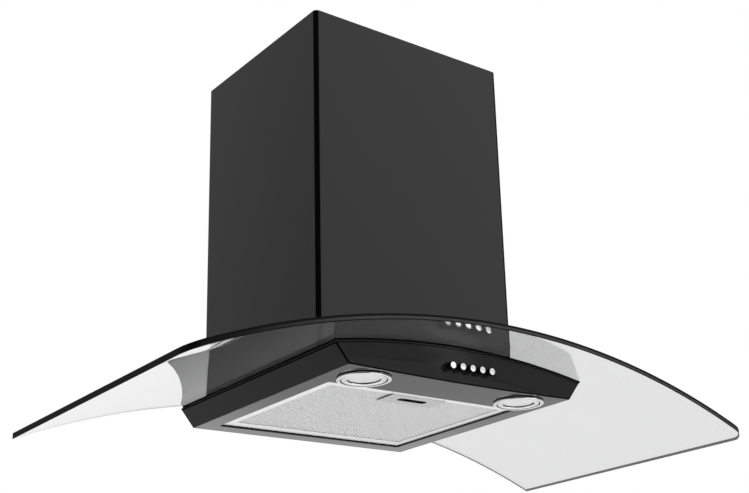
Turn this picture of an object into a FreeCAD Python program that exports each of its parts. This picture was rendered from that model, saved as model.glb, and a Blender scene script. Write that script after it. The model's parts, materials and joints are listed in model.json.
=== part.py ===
import FreeCAD, Part
import math
import os
import re

import Sketcher

# Chimney range hood with a curved glass canopy, for a 90 cm cooker.
# Frame: wall plane at y = 0, front towards -Y, x = 0 in the middle, z = 0 at the flat underside, +Z up.

os.makedirs("parts", exist_ok=True)
doc = FreeCAD.newDocument("RangeHood")
sheet = doc.addObject("Spreadsheet::Sheet", "Sizes")
Vector = FreeCAD.Vector

# Driving dimensions, in millimetres, degrees or counts
SIZES = {
    # general clearances
    "overrun": 5,
    "fit_gap": 0.3,
    "run_gap": 0.4,
    "sheet_wall": 1.2,
    # glass canopy: a bent sheet whose axis runs from the wall to the front
    "glass_width": 900,
    "glass_front": 486,
    "glass_back": 6,
    "glass_thickness": 7.5,
    "glass_corner": 22,
    "arch_radius": 1147,
    "arch_top": 47.3,
    "notch_clearance": 3,
    "gasket_thickness": 2.3,
    "gasket_lip": 1,
    # body under the glass
    "body_depth": 397,
    "body_top_width": 411,
    "body_lean": 20,
    "fascia_thickness": 1.5,
    "fascia_droop": 2.8,
    "deck_opening_width": 236,
    "deck_opening_front": 268,
    "deck_opening_back": 18,
    # chimney covers
    "chimney_shoulder": 37.5,
    "chimney_depth": 302,
    "chimney_top": 547,
    "chimney_bend": 7,
    "return_clearance": 12,
    "upper_drop": 2,
    "foot_height": 38,
    "foot_length": 60,
    "foot_flange": 14,
    "foot_spacing": 170,
    "foot_from_wall": 45,
    # wall fixing
    "back_plate_inset": 9,
    "back_plate_top": 350,
    "keyhole_inset": 35,
    "keyhole_height": 328,
    "keyhole_head": 11,
    "keyhole_slot": 6,
    "keyhole_rise": 9,
    "wall_screw_inset": 65,
    "bracket_height": 22,
    "bracket_wing": 40,
    "bracket_hole": 6,
    "bracket_hole_inset": 58,
    # motor box and blower
    "box_clearance": 34,
    "box_front": 282,
    "box_top": 300,
    "blower_from_wall": 182,
    "blower_height": 172,
    "scroll_width": 118,
    "scroll_wall": 2,
    "scroll_start_radius": 84,
    "scroll_growth": 9,
    "scroll_outlet_depth": 88,
    "inlet_radius": 60,
    "inlet_lip": 5,
    "wheel_radius": 74,
    "wheel_bore_radius": 62,
    "wheel_width": 100,
    "wheel_sheet": 1.2,
    "blade_count": 32,
    "blade_thickness": 1,
    "blade_lean": 9,
    "blade_belly_share": 0.3,
    "hub_radius": 11,
    "hub_length": 16,
    "shaft_radius": 4,
    "shaft_length": 34,
    "motor_radius": 38,
    "motor_length": 62,
    "motor_bell_radius": 24,
    "motor_rib_count": 12,
    "motor_rib": 1.5,
    "arm_count": 3,
    "arm_width": 14,
    "arm_thickness": 2,
    "capacitor_radius": 14,
    "capacitor_length": 52,
    "capacitor_inset": 26,
    "capacitor_from_wall": 32,
    # duct collar and its damper
    "collar_radius": 75,
    "collar_wall": 2,
    "collar_height": 52,
    "collar_flange": 14,
    "collar_from_wall": 122,
    "ledge_width": 5,
    "ledge_height": 14,
    "flap_thickness": 1,
    "pin_radius": 2,
    "knuckle_wall": 1.2,
    "knuckle_length": 22,
    "knuckle_offset": 14,
    # electrical pieces on the motor box
    "terminal_inset": 50,
    "terminal_depth": 44,
    "terminal_height": 30,
    "terminal_side_gap": 32,
    "gland_radius": 9,
    "gland_bore": 4,
    "gland_height": 16,
    "transformer_inset": 56,
    "transformer_depth": 42,
    "transformer_height": 26,
    "transformer_side_gap": 25,
    "ear": 9,
    # push buttons
    "button_count": 5,
    "button_pitch": 16.5,
    "button_offset": 3.5,
    "button_height": 17.5,
    "button_reach": 10,
    "cap_radius": 5.2,
    "cap_length": 3,
    "stem_radius": 4.3,
    "stem_length": 30,
    "collar_ring_radius": 7,
    "collar_ring_reach": 1.2,
    "fascia_hole_radius": 6,
    "button_travel": 3.5,
    "switch_body_depth": 24,
    "switch_body_height": 15,
    "switch_side": 12,
    # lamps
    "lamp_inset": 54.5,
    "lamp_from_wall": 350,
    "bezel_radius": 35.4,
    "bezel_inner_radius": 29,
    "bezel_proud": 3.6,
    "bezel_tube": 12,
    "lens_radius": 21.8,
    "lens_thickness": 2.4,
    "can_height": 26,
    "can_wall": 0.8,
    "bulb_radius": 5,
    "bulb_length": 12,
    # underside panel and grease filter
    "panel_thickness": 1,
    "panel_lip": 9,
    "panel_rim": 26.5,
    "filter_hole_front": 311,
    "filter_hole_back": 27,
    "filter_hole_lip": 16,
    "filter_side_gap": 2,
    "filter_front": 305,
    "filter_back": 30.5,
    "filter_recess": 2.2,
    "filter_height": 9,
    "filter_corner": 4,
    "frame_bar": 13,
    "window_front": 293,
    "window_back": 50,
    "channel_wall": 1,
    "mesh_thickness": 0.7,
    "core_sheet": 0.6,
    "core_pleats": 20,
    "latch_plate_width": 91,
    "latch_plate_front": 295,
    "latch_plate_back": 257,
    "latch_plate_thickness": 1,
    "slot_width": 47,
    "slot_front": 283.5,
    "slot_back": 271,
    "slot_corner": 5,
    "cup_wall": 1,
    "bolt_width": 22,
    "bolt_height": 4,
    "bolt_reach": 9,
    "spring_radius": 2.5,
    "spring_wire": 0.5,
    "spring_turns": 8,
    "bolt_tab_width": 40,
    "bolt_tab_depth": 4,
    "hinge_pin_radius": 2,
    "hinge_pin_inset": 5,
    "hinge_pin_gap": 0.08,
    # fasteners
    "screw_radius": 2,
    "screw_head_radius": 4,
    "screw_head_height": 2.2,
    "glass_screw_radius": 3,
    "glass_screw_head_radius": 9,
    "glass_screw_head_height": 4,
    "washer_thickness": 1,
    "glass_hole_radius": 5,
    "front_hole_share": 0.55,
    "nut_radius": 5.5,
    "nut_height": 4,
}

# Values worked out from the driving dimensions
WORKED = {
    "body_bottom_width": "(body_top_width - 2 * body_lean)",
    "chimney_width": "(body_top_width - 2 * chimney_shoulder)",
    "box_width": "(chimney_width - 2 * box_clearance)",
    "chimney_return": "(box_clearance - return_clearance)",
    "back_plate_width": "(box_width - 2 * back_plate_inset)",
    "keyhole_spacing": "(back_plate_width - 2 * keyhole_inset)",
    "wall_screw_spacing": "(back_plate_width - 2 * wall_screw_inset)",
    "bracket_hole_spacing": "(chimney_width - 2 * bracket_hole_inset)",
    "capacitor_x": "(box_width / 2 - capacitor_inset)",
    "terminal_width": "(box_width / 2 - terminal_inset)",
    "terminal_x": "(box_width / 2 - terminal_width / 2 - terminal_side_gap)",
    "transformer_width": "(box_width / 2 - transformer_inset)",
    "transformer_x": "(box_width / 2 - transformer_width / 2 - transformer_side_gap)",
    "lamp_x": "(body_bottom_width / 2 - lamp_inset)",
    "filter_hole_width": "(body_bottom_width - 2 * panel_rim)",
    "filter_width": "(filter_hole_width - 2 * filter_side_gap)",
    "window_width": "(filter_width - 2 * frame_bar)",
    "first_button_x": "(button_pitch * (button_count - 1) / 2 - button_offset)",
    "last_button_x": "(button_pitch * (button_count - 1) / 2 + button_offset)",
    "arch_centre": "(arch_top - arch_radius)",
    "deck_top_radius": "(arch_radius - gasket_thickness)",
    "deck_under_radius": "(deck_top_radius - sheet_wall)",
    "glass_top_radius": "(arch_radius + glass_thickness)",
    "shell_depth": "(body_depth - fascia_thickness)",
    "droop_radius": "((body_bottom_width / 2) ^ 2 / (2 * fascia_droop) + fascia_droop / 2)",
    "notch_half": "(chimney_width / 2 + notch_clearance)",
    "notch_front": "(chimney_depth + notch_clearance)",
    "upper_half": "(chimney_width / 2 - sheet_wall - run_gap)",
    "upper_front": "(chimney_depth - sheet_wall - run_gap)",
    "upper_bottom": "(foot_top + fit_gap)",
    "upper_top": "(chimney_top - upper_drop)",
    "foot_top": "(arch_centre + deck_top_radius + foot_height)",
    "box_back": "(sheet_wall)",
    "scroll_back_radius": "(scroll_start_radius + 3 * scroll_growth)",
    "scroll_front_radius": "(scroll_start_radius + scroll_growth)",
    "scroll_low_radius": "(scroll_start_radius + 2 * scroll_growth)",
    "scroll_rise": "(box_top - sheet_wall - blower_height)",
    "outlet_front": "(scroll_back_radius - scroll_outlet_depth)",
    "tongue_rise": "(sqrt(scroll_start_radius ^ 2 - outlet_front ^ 2) + scroll_growth / 4)",
    "collar_bore": "(collar_radius - collar_wall)",
    "ledge_bore": "(collar_bore - ledge_width)",
    "flap_radius": "(collar_bore - run_gap)",
    "flap_height": "(box_top + ledge_height + fit_gap + flap_thickness / 2)",
    "knuckle_bore": "(pin_radius + fit_gap)",
    "knuckle_radius": "(knuckle_bore + knuckle_wall)",
    "button_face": "(body_depth + button_reach)",
    "stem_bore": "(stem_radius + run_gap)",
    "switch_front": "(button_face - stem_length - cap_length + switch_side / 2)",
    "filter_floor": "(filter_recess)",
    "filter_top": "(filter_recess + filter_height)",
    "core_floor": "(filter_floor + channel_wall + mesh_thickness)",
    "core_top": "(filter_top - channel_wall - mesh_thickness)",
    "hinge_from_wall": "(filter_back + hinge_pin_inset)",
    "hinge_height": "(filter_floor + filter_height / 2)",
    "bolt_floor": "(filter_floor + channel_wall + fit_gap)",
    "bolt_top": "(bolt_floor + bolt_height)",
    "bolt_back": "(slot_back + bolt_tab_depth)",
    "cup_half": "(slot_width / 2 + 2 * cup_wall)",
    "cup_front": "(slot_front + cup_wall + fit_gap / 2)",
    "cup_back": "(latch_plate_back + 2 * cup_wall)",
}

for row, (alias, value) in enumerate(SIZES.items(), start=1):
    sheet.set(f"A{row}", alias)
    sheet.set(f"B{row}", str(value))
    sheet.setAlias(f"B{row}", alias)
doc.recompute()


def expand(text):
    """Turns names of sizes in a formula into references to the sheet."""
    def swap(match):
        word = match.group()
        if word in SIZES:
            return "Sizes." + word
        if word in WORKED:
            return expand(WORKED[word])
        return word
    return re.sub(r"[a-z_][a-z_0-9]*", swap, str(text))


def value_of(text):
    """The number that a formula of sizes comes to."""
    result = sheet.evalExpression(expand(text))
    return float(getattr(result, "Value", result))


def arc_height(radius, x):
    """Height, at a distance x from the middle, of an arch about the glass's axis."""
    return f"(arch_centre + sqrt(({radius}) ^ 2 - ({x}) ^ 2))"


def new_body(label):
    body = doc.addObject("PartDesign::Body", label)
    body.Label = label
    return body


def arc_between(start, end, radius):
    """Arc from start to end; a positive radius turns left, a negative one right."""
    middle = (start + end) * 0.5
    along = end - start
    half = along.Length / 2
    size = abs(radius)
    rise = math.sqrt(max(size * size - half * half, 0))
    left = Vector(-along.y, along.x, 0).normalize()
    centre = middle + left * math.copysign(rise, radius)
    first, last = (start, end) if radius > 0 else (end, start)
    angle_first = math.atan2(first.y - centre.y, first.x - centre.x)
    angle_last = math.atan2(last.y - centre.y, last.x - centre.x)
    circle = Part.Circle(centre, Vector(0, 0, 1), size)
    return Part.ArcOfCircle(circle, angle_first, angle_last)


def pin_point(sketch, geometry, position, x, y):
    """Ties a point of a sketch to formulas for its two coordinates."""
    for axis, kind, text in ((-2, "DistanceX", x), (-1, "DistanceY", y)):
        if str(text) == "0":
            sketch.addConstraint(Sketcher.Constraint("PointOnObject", geometry, position, axis))
            continue
        number = sketch.addConstraint(
            Sketcher.Constraint(kind, -1, 1, geometry, position, value_of(text)))
        sketch.setExpression(f"Constraints[{number}]", expand(text))


def add_loop(sketch, points):
    """Closed outline; a point's third entry is the radius of the arc that leaves it."""
    places = [Vector(value_of(p[0]), value_of(p[1]), 0) for p in points]
    sides = []
    for index, point in enumerate(points):
        start = places[index]
        end = places[(index + 1) % len(places)]
        if len(point) == 3:
            radius = value_of(point[2])
            number = sketch.addGeometry(arc_between(start, end, radius), False)
            sides.append((number, 1, 2) if radius > 0 else (number, 2, 1))
        else:
            number = sketch.addGeometry(Part.LineSegment(start, end), False)
            sides.append((number, 1, 2))
    for index, point in enumerate(points):
        before = sides[index - 1]
        here = sides[index]
        sketch.addConstraint(Sketcher.Constraint("Coincident", before[0], before[2], here[0], here[1]))
        pin_point(sketch, here[0], here[1], point[0], point[1])
        if len(point) == 3:
            size = abs(value_of(point[2]))
            number = sketch.addConstraint(Sketcher.Constraint("Radius", here[0], size))
            sketch.setExpression(f"Constraints[{number}]", f"abs({expand(point[2])})")


def add_circle(sketch, x, y, radius):
    centre = Vector(value_of(x), value_of(y), 0)
    circle = Part.Circle(centre, Vector(0, 0, 1), value_of(radius))
    number = sketch.addGeometry(circle, False)
    pin_point(sketch, number, 3, x, y)
    size = sketch.addConstraint(Sketcher.Constraint("Radius", number, value_of(radius)))
    sketch.setExpression(f"Constraints[{size}]", expand(radius))


def new_sketch(body, plane, start, loops=(), circles=()):
    """Sketch on one of the body's own origin planes, moved along the plane's normal."""
    sketch = body.newObject("Sketcher::SketchObject", body.Name + "_outline")
    support = next(f for f in body.Origin.OriginFeatures if f.Role == plane)
    sketch.AttachmentSupport = [(support, "")]
    sketch.MapMode = "FlatFace"
    sketch.setExpression("AttachmentOffset.Base.z", expand(start))
    for loop in loops:
        add_loop(sketch, loop)
    for circle in circles:
        add_circle(sketch, *circle)
    sketch.Visibility = False
    return sketch


def pad(body, plane, start, length, loops=(), circles=()):
    """Adds material along the plane's normal. XZ plane: the normal points to the front."""
    sketch = new_sketch(body, plane, start, loops, circles)
    feature = body.newObject("PartDesign::Pad", body.Name + "_pad")
    feature.Profile = sketch
    feature.setExpression("Length", expand(length))
    doc.recompute()
    return feature


def cut(body, plane, start, length, loops=(), circles=()):
    """Takes material away along the plane's normal, and makes sure that some went."""
    before = body.Shape.Volume
    sketch = new_sketch(body, plane, start, loops, circles)
    feature = body.newObject("PartDesign::Pocket", body.Name + "_pocket")
    feature.Profile = sketch
    feature.Reversed = True
    feature.setExpression("Length", expand(length))
    doc.recompute()
    if not body.Shape.Volume < before:
        raise RuntimeError(f"{body.Label}: a pocket cut nothing")
    return feature


def turn(body, loops):
    """Revolves outlines, drawn as radius and height, about the body's own Z axis."""
    sketch = new_sketch(body, "XZ_Plane", "0", loops)
    feature = body.newObject("PartDesign::Revolution", body.Name + "_turned")
    feature.Profile = sketch
    feature.ReferenceAxis = (sketch, ["V_Axis"])
    feature.Angle = 360
    doc.recompute()
    return feature


def place(part, x="0", y="0", z="0", axis=None, angle=0):
    if axis is not None:
        part.Placement = FreeCAD.Placement(Vector(0, 0, 0), FreeCAD.Rotation(axis, angle))
    part.setExpression("Placement.Base.x", expand(x))
    part.setExpression("Placement.Base.y", expand(y))
    part.setExpression("Placement.Base.z", expand(z))


def box_loop(x_low, x_high, y_low, y_high, corner=None):
    """Rectangle, anticlockwise, with rounded corners where a radius is given."""
    if corner is None:
        return [(x_low, y_low), (x_high, y_low), (x_high, y_high), (x_low, y_high)]
    corner = f"({corner})"
    return [
        (f"{x_low} + {corner}", y_low),
        (f"{x_high} - {corner}", y_low, corner),
        (x_high, f"{y_low} + {corner}"),
        (x_high, f"{y_high} - {corner}", corner),
        (f"{x_high} - {corner}", y_high),
        (f"{x_low} + {corner}", y_high, corner),
        (x_low, f"{y_high} - {corner}"),
        (x_low, f"{y_low} + {corner}", corner),
    ]


def repeat(body, feature, plane, direction, spacing, count):
    """Repeats a feature in a straight line; the spacing is from one copy to the next."""
    pattern = body.newObject("PartDesign::LinearPattern", body.Name + "_row")
    pattern.Originals = [feature]
    axis = next(f for f in body.Origin.OriginFeatures if f.Role == direction)
    pattern.Direction = (axis, [""])
    pattern.Mode = "Spacing"
    pattern.setExpression("Offset", expand(spacing))
    pattern.setExpression("Occurrences", expand(count))
    body.Tip = pattern
    doc.recompute()
    return pattern


def spin_pattern(body, features, count):
    """Repeats features evenly about the body's own Z axis."""
    pattern = body.newObject("PartDesign::PolarPattern", body.Name + "_ring")
    pattern.Originals = features
    axis = next(f for f in body.Origin.OriginFeatures if f.Role == "Z_Axis")
    pattern.Axis = (axis, [""])
    pattern.Angle = 360
    pattern.setExpression("Occurrences", expand(count))
    body.Tip = pattern
    doc.recompute()
    return pattern


def group(label, parts):
    """Separate solids under one name, such as a set of equal screws."""
    compound = doc.addObject("Part::Compound", label)
    compound.Label = label
    compound.Links = parts
    doc.recompute()
    return compound


def minus(text):
    return f"-({text})"


NODES = []


def keep(part):
    NODES.append(part)
    return part


# Arched pieces: glass, gasket and top deck share one axis
def arch_loop(half_low, low_radius, half_high, high_radius):
    """Cross-section of a bent sheet, seen from the front."""
    return [
        (minus(half_low), arc_height(low_radius, half_low), minus(low_radius)),
        (half_low, arc_height(low_radius, half_low)),
        (half_high, arc_height(high_radius, half_high), high_radius),
        (minus(half_high), arc_height(high_radius, half_high)),
    ]


def glass_canopy():
    body = new_body("glass_canopy")
    half = "glass_width / 2"
    pad(body, "XZ_Plane", "glass_back", "glass_front - glass_back",
        [arch_loop(half, "arch_radius", half, "glass_top_radius")])
    low = "-(glass_width) / 4"
    tall = "glass_width / 2"
    for side in ("-1", "1"):
        edge = f"{side} * glass_width / 2"
        inner = f"{side} * (glass_width / 2 - glass_corner)"
        outside = f"{side} * (glass_width / 2 + overrun)"
        front = minus("glass_front")
        behind = minus("glass_front - glass_corner")
        beyond = minus("glass_front + overrun")
        turned = "glass_corner" if side == "-1" else "-(glass_corner)"
        cut(body, "XY_Plane", low, tall, [[
            (edge, behind, turned),
            (inner, front),
            (inner, beyond),
            (outside, beyond),
            (outside, behind),
        ]])
    cut(body, "XY_Plane", low, tall, [box_loop(
        minus("notch_half"), "notch_half", minus("notch_front"), "0", "glass_corner / 3")])
    cut(body, "XY_Plane", low, tall, [], glass_holes("glass_hole_radius"))
    return keep(body)


def glass_holes(radius):
    """Four holes where the canopy is held down: two in front, one on each side."""
    side_x = "(notch_half + body_top_width / 2) / 2 - gasket_thickness"
    front_y = minus("(notch_front + body_depth) / 2")
    return [(f"{side} * {share} * ({side_x})", y, radius)
            for side in ("-1", "1")
            for share, y in (("1", minus("chimney_depth / 3")), ("front_hole_share", front_y))]


def glass_gasket():
    body = new_body("glass_gasket")
    half = "body_top_width / 2 + gasket_lip"
    pad(body, "XZ_Plane", "glass_back", "body_depth + gasket_lip - glass_back",
        [arch_loop(half, "deck_top_radius", half, "arch_radius")])
    low = "-(glass_width) / 4"
    tall = "glass_width / 2"
    cut(body, "XY_Plane", low, tall, [box_loop(
        minus("notch_half"), "notch_half", minus("notch_front"), "0", "glass_corner / 3")])
    cut(body, "XY_Plane", low, tall, [], glass_holes("glass_hole_radius"))
    return keep(body)


def top_deck():
    body = new_body("top_deck")
    half = "body_top_width / 2"
    pad(body, "XZ_Plane", "0", "body_depth",
        [arch_loop(half, "deck_under_radius", half, "deck_top_radius")])
    low = "-(glass_width) / 4"
    tall = "glass_width / 2"
    cut(body, "XY_Plane", low, tall, [box_loop(
        minus("deck_opening_width / 2"), "deck_opening_width / 2",
        minus("deck_opening_front"), minus("deck_opening_back"), "chimney_bend")])
    cut(body, "XY_Plane", low, tall, [],
        glass_holes("glass_hole_radius - fit_gap") + foot_screw_holes("screw_radius"))
    return keep(body)


# Body shell: two sloped sides and a back, folded from one sheet
def body_shell():
    body = new_body("body_shell")
    outer = [
        (minus("body_bottom_width / 2"), "0"),
        ("body_bottom_width / 2", "0"),
        ("body_top_width / 2", arc_height("deck_under_radius", "body_top_width / 2"), "deck_under_radius"),
        (minus("body_top_width / 2"), arc_height("deck_under_radius", "body_top_width / 2")),
    ]
    pad(body, "XZ_Plane", "0", "shell_depth", [outer])
    lean = "(body_top_width - body_bottom_width) / 2"
    tall = arc_height("deck_under_radius", "body_top_width / 2")
    rise = "arch_top + overrun"
    slope = f"{lean} * ({rise}) / {tall}"
    drop = f"{lean} * overrun / {tall}"
    low = "body_bottom_width / 2 - sheet_wall"
    cut(body, "XZ_Plane", "sheet_wall", "shell_depth", [[
        (minus(f"{low} - {drop}"), minus("overrun")),
        (f"{low} - {drop}", minus("overrun")),
        (f"{low} + {slope}", rise),
        (minus(f"{low} + {slope}"), rise),
    ]])
    return keep(body)


def front_fascia():
    body = new_body("front_fascia")
    pad(body, "XZ_Plane", "shell_depth", "fascia_thickness", [[
        (minus("body_bottom_width / 2"), "0", "droop_radius"),
        ("body_bottom_width / 2", "0"),
        ("body_top_width / 2", arc_height("deck_under_radius", "body_top_width / 2"), "deck_under_radius"),
        (minus("body_top_width / 2"), arc_height("deck_under_radius", "body_top_width / 2")),
    ]])
    hole = cut(body, "XZ_Plane", "shell_depth - overrun", "fascia_thickness + 2 * overrun", [],
               [(minus("first_button_x"), "button_height", "fascia_hole_radius")])
    repeat(body, hole, "XZ_Plane", "X_Axis", "button_pitch", "button_count")
    return keep(body)


def underside_panel():
    """Flat panel folded up at its outer edges and round the filter opening."""
    body = new_body("underside_panel")
    half = "body_bottom_width / 2 - sheet_wall - fit_gap"
    front = minus("shell_depth - fit_gap")
    back = minus("sheet_wall + fit_gap")
    hole_half = "filter_hole_width / 2"
    lip = "panel_thickness"
    pad(body, "XY_Plane", "0", "panel_lip", [box_loop(minus(half), half, front, back, "3 * panel_thickness")])
    cut(body, "XY_Plane", "panel_thickness", "panel_lip", [box_loop(
        minus(f"{half} - {lip}"), f"{half} - {lip}",
        f"{front} + {lip}", f"{back} - {lip}", "2 * panel_thickness")])
    pad(body, "XY_Plane", "0", "filter_hole_lip", [box_loop(
        minus(f"{hole_half} + {lip}"), f"{hole_half} + {lip}",
        minus("filter_hole_front + panel_thickness"), minus("filter_hole_back - panel_thickness"),
        "filter_corner + panel_thickness")])
    cut(body, "XY_Plane", minus("overrun"), "filter_hole_lip + 2 * overrun", [box_loop(
        minus(hole_half), hole_half, minus("filter_hole_front"), minus("filter_hole_back"), "filter_corner")])
    lamps = [(f"{side} * lamp_x", minus("lamp_from_wall"), "bezel_inner_radius + fit_gap")
             for side in ("-1", "1")]
    cut(body, "XY_Plane", minus("overrun"), "2 * overrun", [], lamps)
    for side, plane_start in (("left", minus(f"{hole_half} + overrun")), ("right", f"{hole_half} - overrun")):
        cut(body, "YZ_Plane", plane_start, "2 * overrun", [],
            [(minus("hinge_from_wall"), "hinge_height", "hinge_pin_radius + hinge_pin_gap")])
    keeper = "bolt_width / 2 + run_gap"
    cut(body, "XZ_Plane", "filter_hole_front - overrun", "2 * overrun", [box_loop(
        minus(keeper), keeper, "bolt_floor - run_gap", "bolt_floor + bolt_height + run_gap")])
    return keep(body)


# Grease filter: folded frame, meshes, pleated core and latch
def filter_frame():
    body = new_body("filter_frame")
    half = "filter_width / 2"
    wall = "channel_wall"
    pad(body, "XY_Plane", "filter_floor", "filter_height", [box_loop(
        minus(half), half, minus("filter_front"), minus("filter_back"), "filter_corner")])
    cut(body, "XY_Plane", minus("overrun"), "filter_height + 3 * overrun", [box_loop(
        minus("window_width / 2"), "window_width / 2", minus("window_front"), minus("window_back"),
        "filter_corner / 2")])
    cut(body, "XY_Plane", f"filter_floor + {wall}", f"filter_height - 2 * {wall}", [box_loop(
        minus(f"{half} - {wall}"), f"{half} - {wall}",
        minus(f"filter_front - {wall}"), minus(f"filter_back + {wall}"), f"filter_corner - {wall}")])
    slot = "bolt_width / 2 + run_gap"
    cut(body, "XZ_Plane", "window_front", "filter_front - window_front + overrun", [box_loop(
        minus(slot), slot, "bolt_floor - fit_gap", "bolt_top + run_gap")])
    for start in (minus(f"{half} + overrun"), f"{half} - {wall} - overrun"):
        cut(body, "YZ_Plane", start, f"{wall} + 2 * overrun", [],
            [(minus("hinge_from_wall"), "hinge_height", "hinge_pin_radius")])
    return keep(body)


def mesh_loop():
    half = "filter_width / 2 - channel_wall - fit_gap"
    front = minus("filter_front - channel_wall - fit_gap")
    back = minus("filter_back + channel_wall + 2 * hinge_pin_inset")
    return box_loop(minus(half), half, front, back, "filter_corner")


def filter_face_mesh():
    body = new_body("filter_face_mesh")
    pad(body, "XY_Plane", "filter_floor + channel_wall", "mesh_thickness", [mesh_loop()])
    reach = "cup_half + fit_gap"
    cut(body, "XY_Plane", "filter_floor", "channel_wall + 2 * mesh_thickness", [box_loop(
        minus(reach), reach, minus("filter_front"), minus("cup_back - fit_gap"))])
    return keep(body)


def filter_back_mesh():
    body = new_body("filter_back_mesh")
    pad(body, "XY_Plane", "filter_top - channel_wall - mesh_thickness", "mesh_thickness", [mesh_loop()])
    return keep(body)


def filter_core():
    """Aluminium net folded into pleats between the two meshes."""
    shape_height = value_of("core_top - core_floor - core_sheet")
    pleats = int(value_of("core_pleats"))
    half = value_of("window_width / 2 - channel_wall")
    step = 2 * half / pleats
    floor = value_of("core_floor")
    sheet_rise = value_of("core_sheet")
    low = [Vector(-half + index * step / 2, 0, floor + (index % 2) * shape_height)
           for index in range(2 * pleats + 1)]
    high = [point + Vector(0, 0, sheet_rise) for point in reversed(low)]
    outline = Part.makePolygon(low + high + [low[0]])
    front = value_of("cup_back - 2 * cup_wall")
    back = value_of("window_back")
    part = doc.addObject("Part::Feature", "filter_core")
    part.Label = "filter_core"
    part.Shape = Part.Face(outline).extrude(Vector(0, back - front, 0))
    part.Placement.Base = Vector(0, -back, 0)
    return keep(part)


def filter_pins():
    pins = []
    for side, angle in (("left", -90), ("right", 90)):
        pin = doc.addObject("Part::Cylinder", f"filter_pin_{side}")
        pin.setExpression("Radius", expand("hinge_pin_radius"))
        pin.setExpression("Height", expand("(filter_hole_width - filter_width) / 2 + channel_wall + 3 * panel_thickness"))
        sign = "-1" if side == "left" else "1"
        place(pin, f"{sign} * (filter_width / 2 - channel_wall)", minus("hinge_from_wall"), "hinge_height",
              Vector(0, 1, 0), angle)
        pins.append(pin)
    return keep(group("filter_pins", pins))


def latch_plate():
    body = new_body("latch_plate")
    half = "latch_plate_width / 2"
    pad(body, "XY_Plane", "filter_floor - latch_plate_thickness", "latch_plate_thickness", [box_loop(
        minus(half), half, minus("latch_plate_front"), minus("latch_plate_back"), "cup_wall")])
    cut(body, "XY_Plane", "filter_floor - 2 * latch_plate_thickness", "3 * latch_plate_thickness", [box_loop(
        minus("slot_width / 2"), "slot_width / 2", minus("slot_front"), minus("slot_back"), "slot_corner")])
    return keep(body)


def latch_cup():
    """Pressed cup behind the finger slot, which guides the bolt."""
    body = new_body("latch_cup")
    top = "bolt_top + fit_gap + cup_wall"
    pad(body, "XY_Plane", "filter_floor", f"{top} - filter_floor", [box_loop(
        minus("cup_half"), "cup_half", minus("cup_front"), minus("cup_back"), "cup_wall")])
    cut(body, "XY_Plane", "filter_floor - overrun", f"{top} - cup_wall - filter_floor + overrun", [box_loop(
        minus("cup_half - cup_wall"), "cup_half - cup_wall",
        minus("cup_front - cup_wall"), minus("cup_back + cup_wall"))])
    slot = "bolt_width / 2 + run_gap"
    cut(body, "XZ_Plane", "cup_front - 2 * cup_wall", "2 * cup_wall + overrun", [box_loop(
        minus(slot), slot, "filter_floor", "bolt_top + fit_gap")])
    return keep(body)


def latch_bolt():
    body = new_body("latch_bolt")
    half = "bolt_width / 2"
    tab = "bolt_tab_width / 2"
    nose = "filter_front + bolt_reach"
    pad(body, "XY_Plane", "bolt_floor", "bolt_height", [[
        (minus(tab), minus("bolt_back + bolt_tab_depth")),
        (minus(half), minus("bolt_back + bolt_tab_depth")),
        (minus(half), minus(f"{nose} - bolt_height")),
        (minus(f"{half} - bolt_height"), minus(nose)),
        (f"{half} - bolt_height", minus(nose)),
        (half, minus(f"{nose} - bolt_height")),
        (half, minus("bolt_back + bolt_tab_depth")),
        (tab, minus("bolt_back + bolt_tab_depth")),
        (tab, minus("bolt_back")),
        (minus(tab), minus("bolt_back")),
    ]])
    cut(body, "XY_Plane", "bolt_floor - overrun", "bolt_height / 2 + overrun", [box_loop(
        minus(tab), tab, minus("bolt_back + bolt_tab_depth / 2"), minus("bolt_back - overrun"))])
    return keep(body)


def latch_springs():
    """Two flat serpentine springs between the cup's back and the bolt's tabs."""
    springs = []
    front = "(bolt_back - fit_gap / 2)"
    back = "(cup_back + cup_wall + fit_gap / 2)"
    for side in ("-1", "1"):
        body = new_body("latch_spring")
        step = f"({front} - {back} - spring_wire) / spring_turns"
        turns = int(value_of("spring_turns"))
        near = []
        for number in range(turns + 1):
            reach = "spring_radius" if number % 2 else "-(spring_radius)"
            near.append((f"{side} * bolt_width / 2 + {reach}", minus(f"{front} - {number} * ({step})")))
        far = [(x, f"{y} + spring_wire") for x, y in reversed(near)]
        pad(body, "XY_Plane", "bolt_floor", "bolt_height", [near + far])
        springs.append(body)
    return keep(group("latch_springs", springs))


# Chimney covers: sheet folded into a U that is open to the wall
def folded_cover(label, half, front, back, bottom, top, wall, bend):
    body = new_body(label)
    height = f"{top} - ({bottom})"
    outer = [
        (f"{minus(half)} + {bend}", minus(front)),
        (f"{half} - {bend}", minus(front), bend),
        (half, f"{minus(front)} + {bend}"),
        (half, back),
        (minus(half), back),
        (minus(half), f"{minus(front)} + {bend}", bend),
    ]
    pad(body, "XY_Plane", bottom, height, [outer])
    inner_half = f"{half} - {wall}"
    inner_front = f"{front} - {wall}"
    inner_bend = f"{bend} - {wall}"
    inner_back = f"{back} - {wall}" if back != "0" else minus(wall)
    inner = [
        (f"{minus(inner_half)} + {inner_bend}", minus(inner_front)),
        (f"{inner_half} - ({inner_bend})", minus(inner_front), inner_bend),
        (inner_half, f"{minus(inner_front)} + {inner_bend}"),
        (inner_half, inner_back),
        (minus(inner_half), inner_back),
        (minus(inner_half), f"{minus(inner_front)} + {inner_bend}", inner_bend),
    ]
    cut(body, "XY_Plane", f"{bottom} - overrun", f"{height} + 2 * overrun", [inner])
    gap = f"{half} - {wall} - chimney_return"
    cut(body, "XY_Plane", f"{bottom} - overrun", f"{height} + 2 * overrun", [box_loop(
        minus(gap), gap, f"{inner_back} - overrun", f"{back} + overrun")])
    return body


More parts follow.
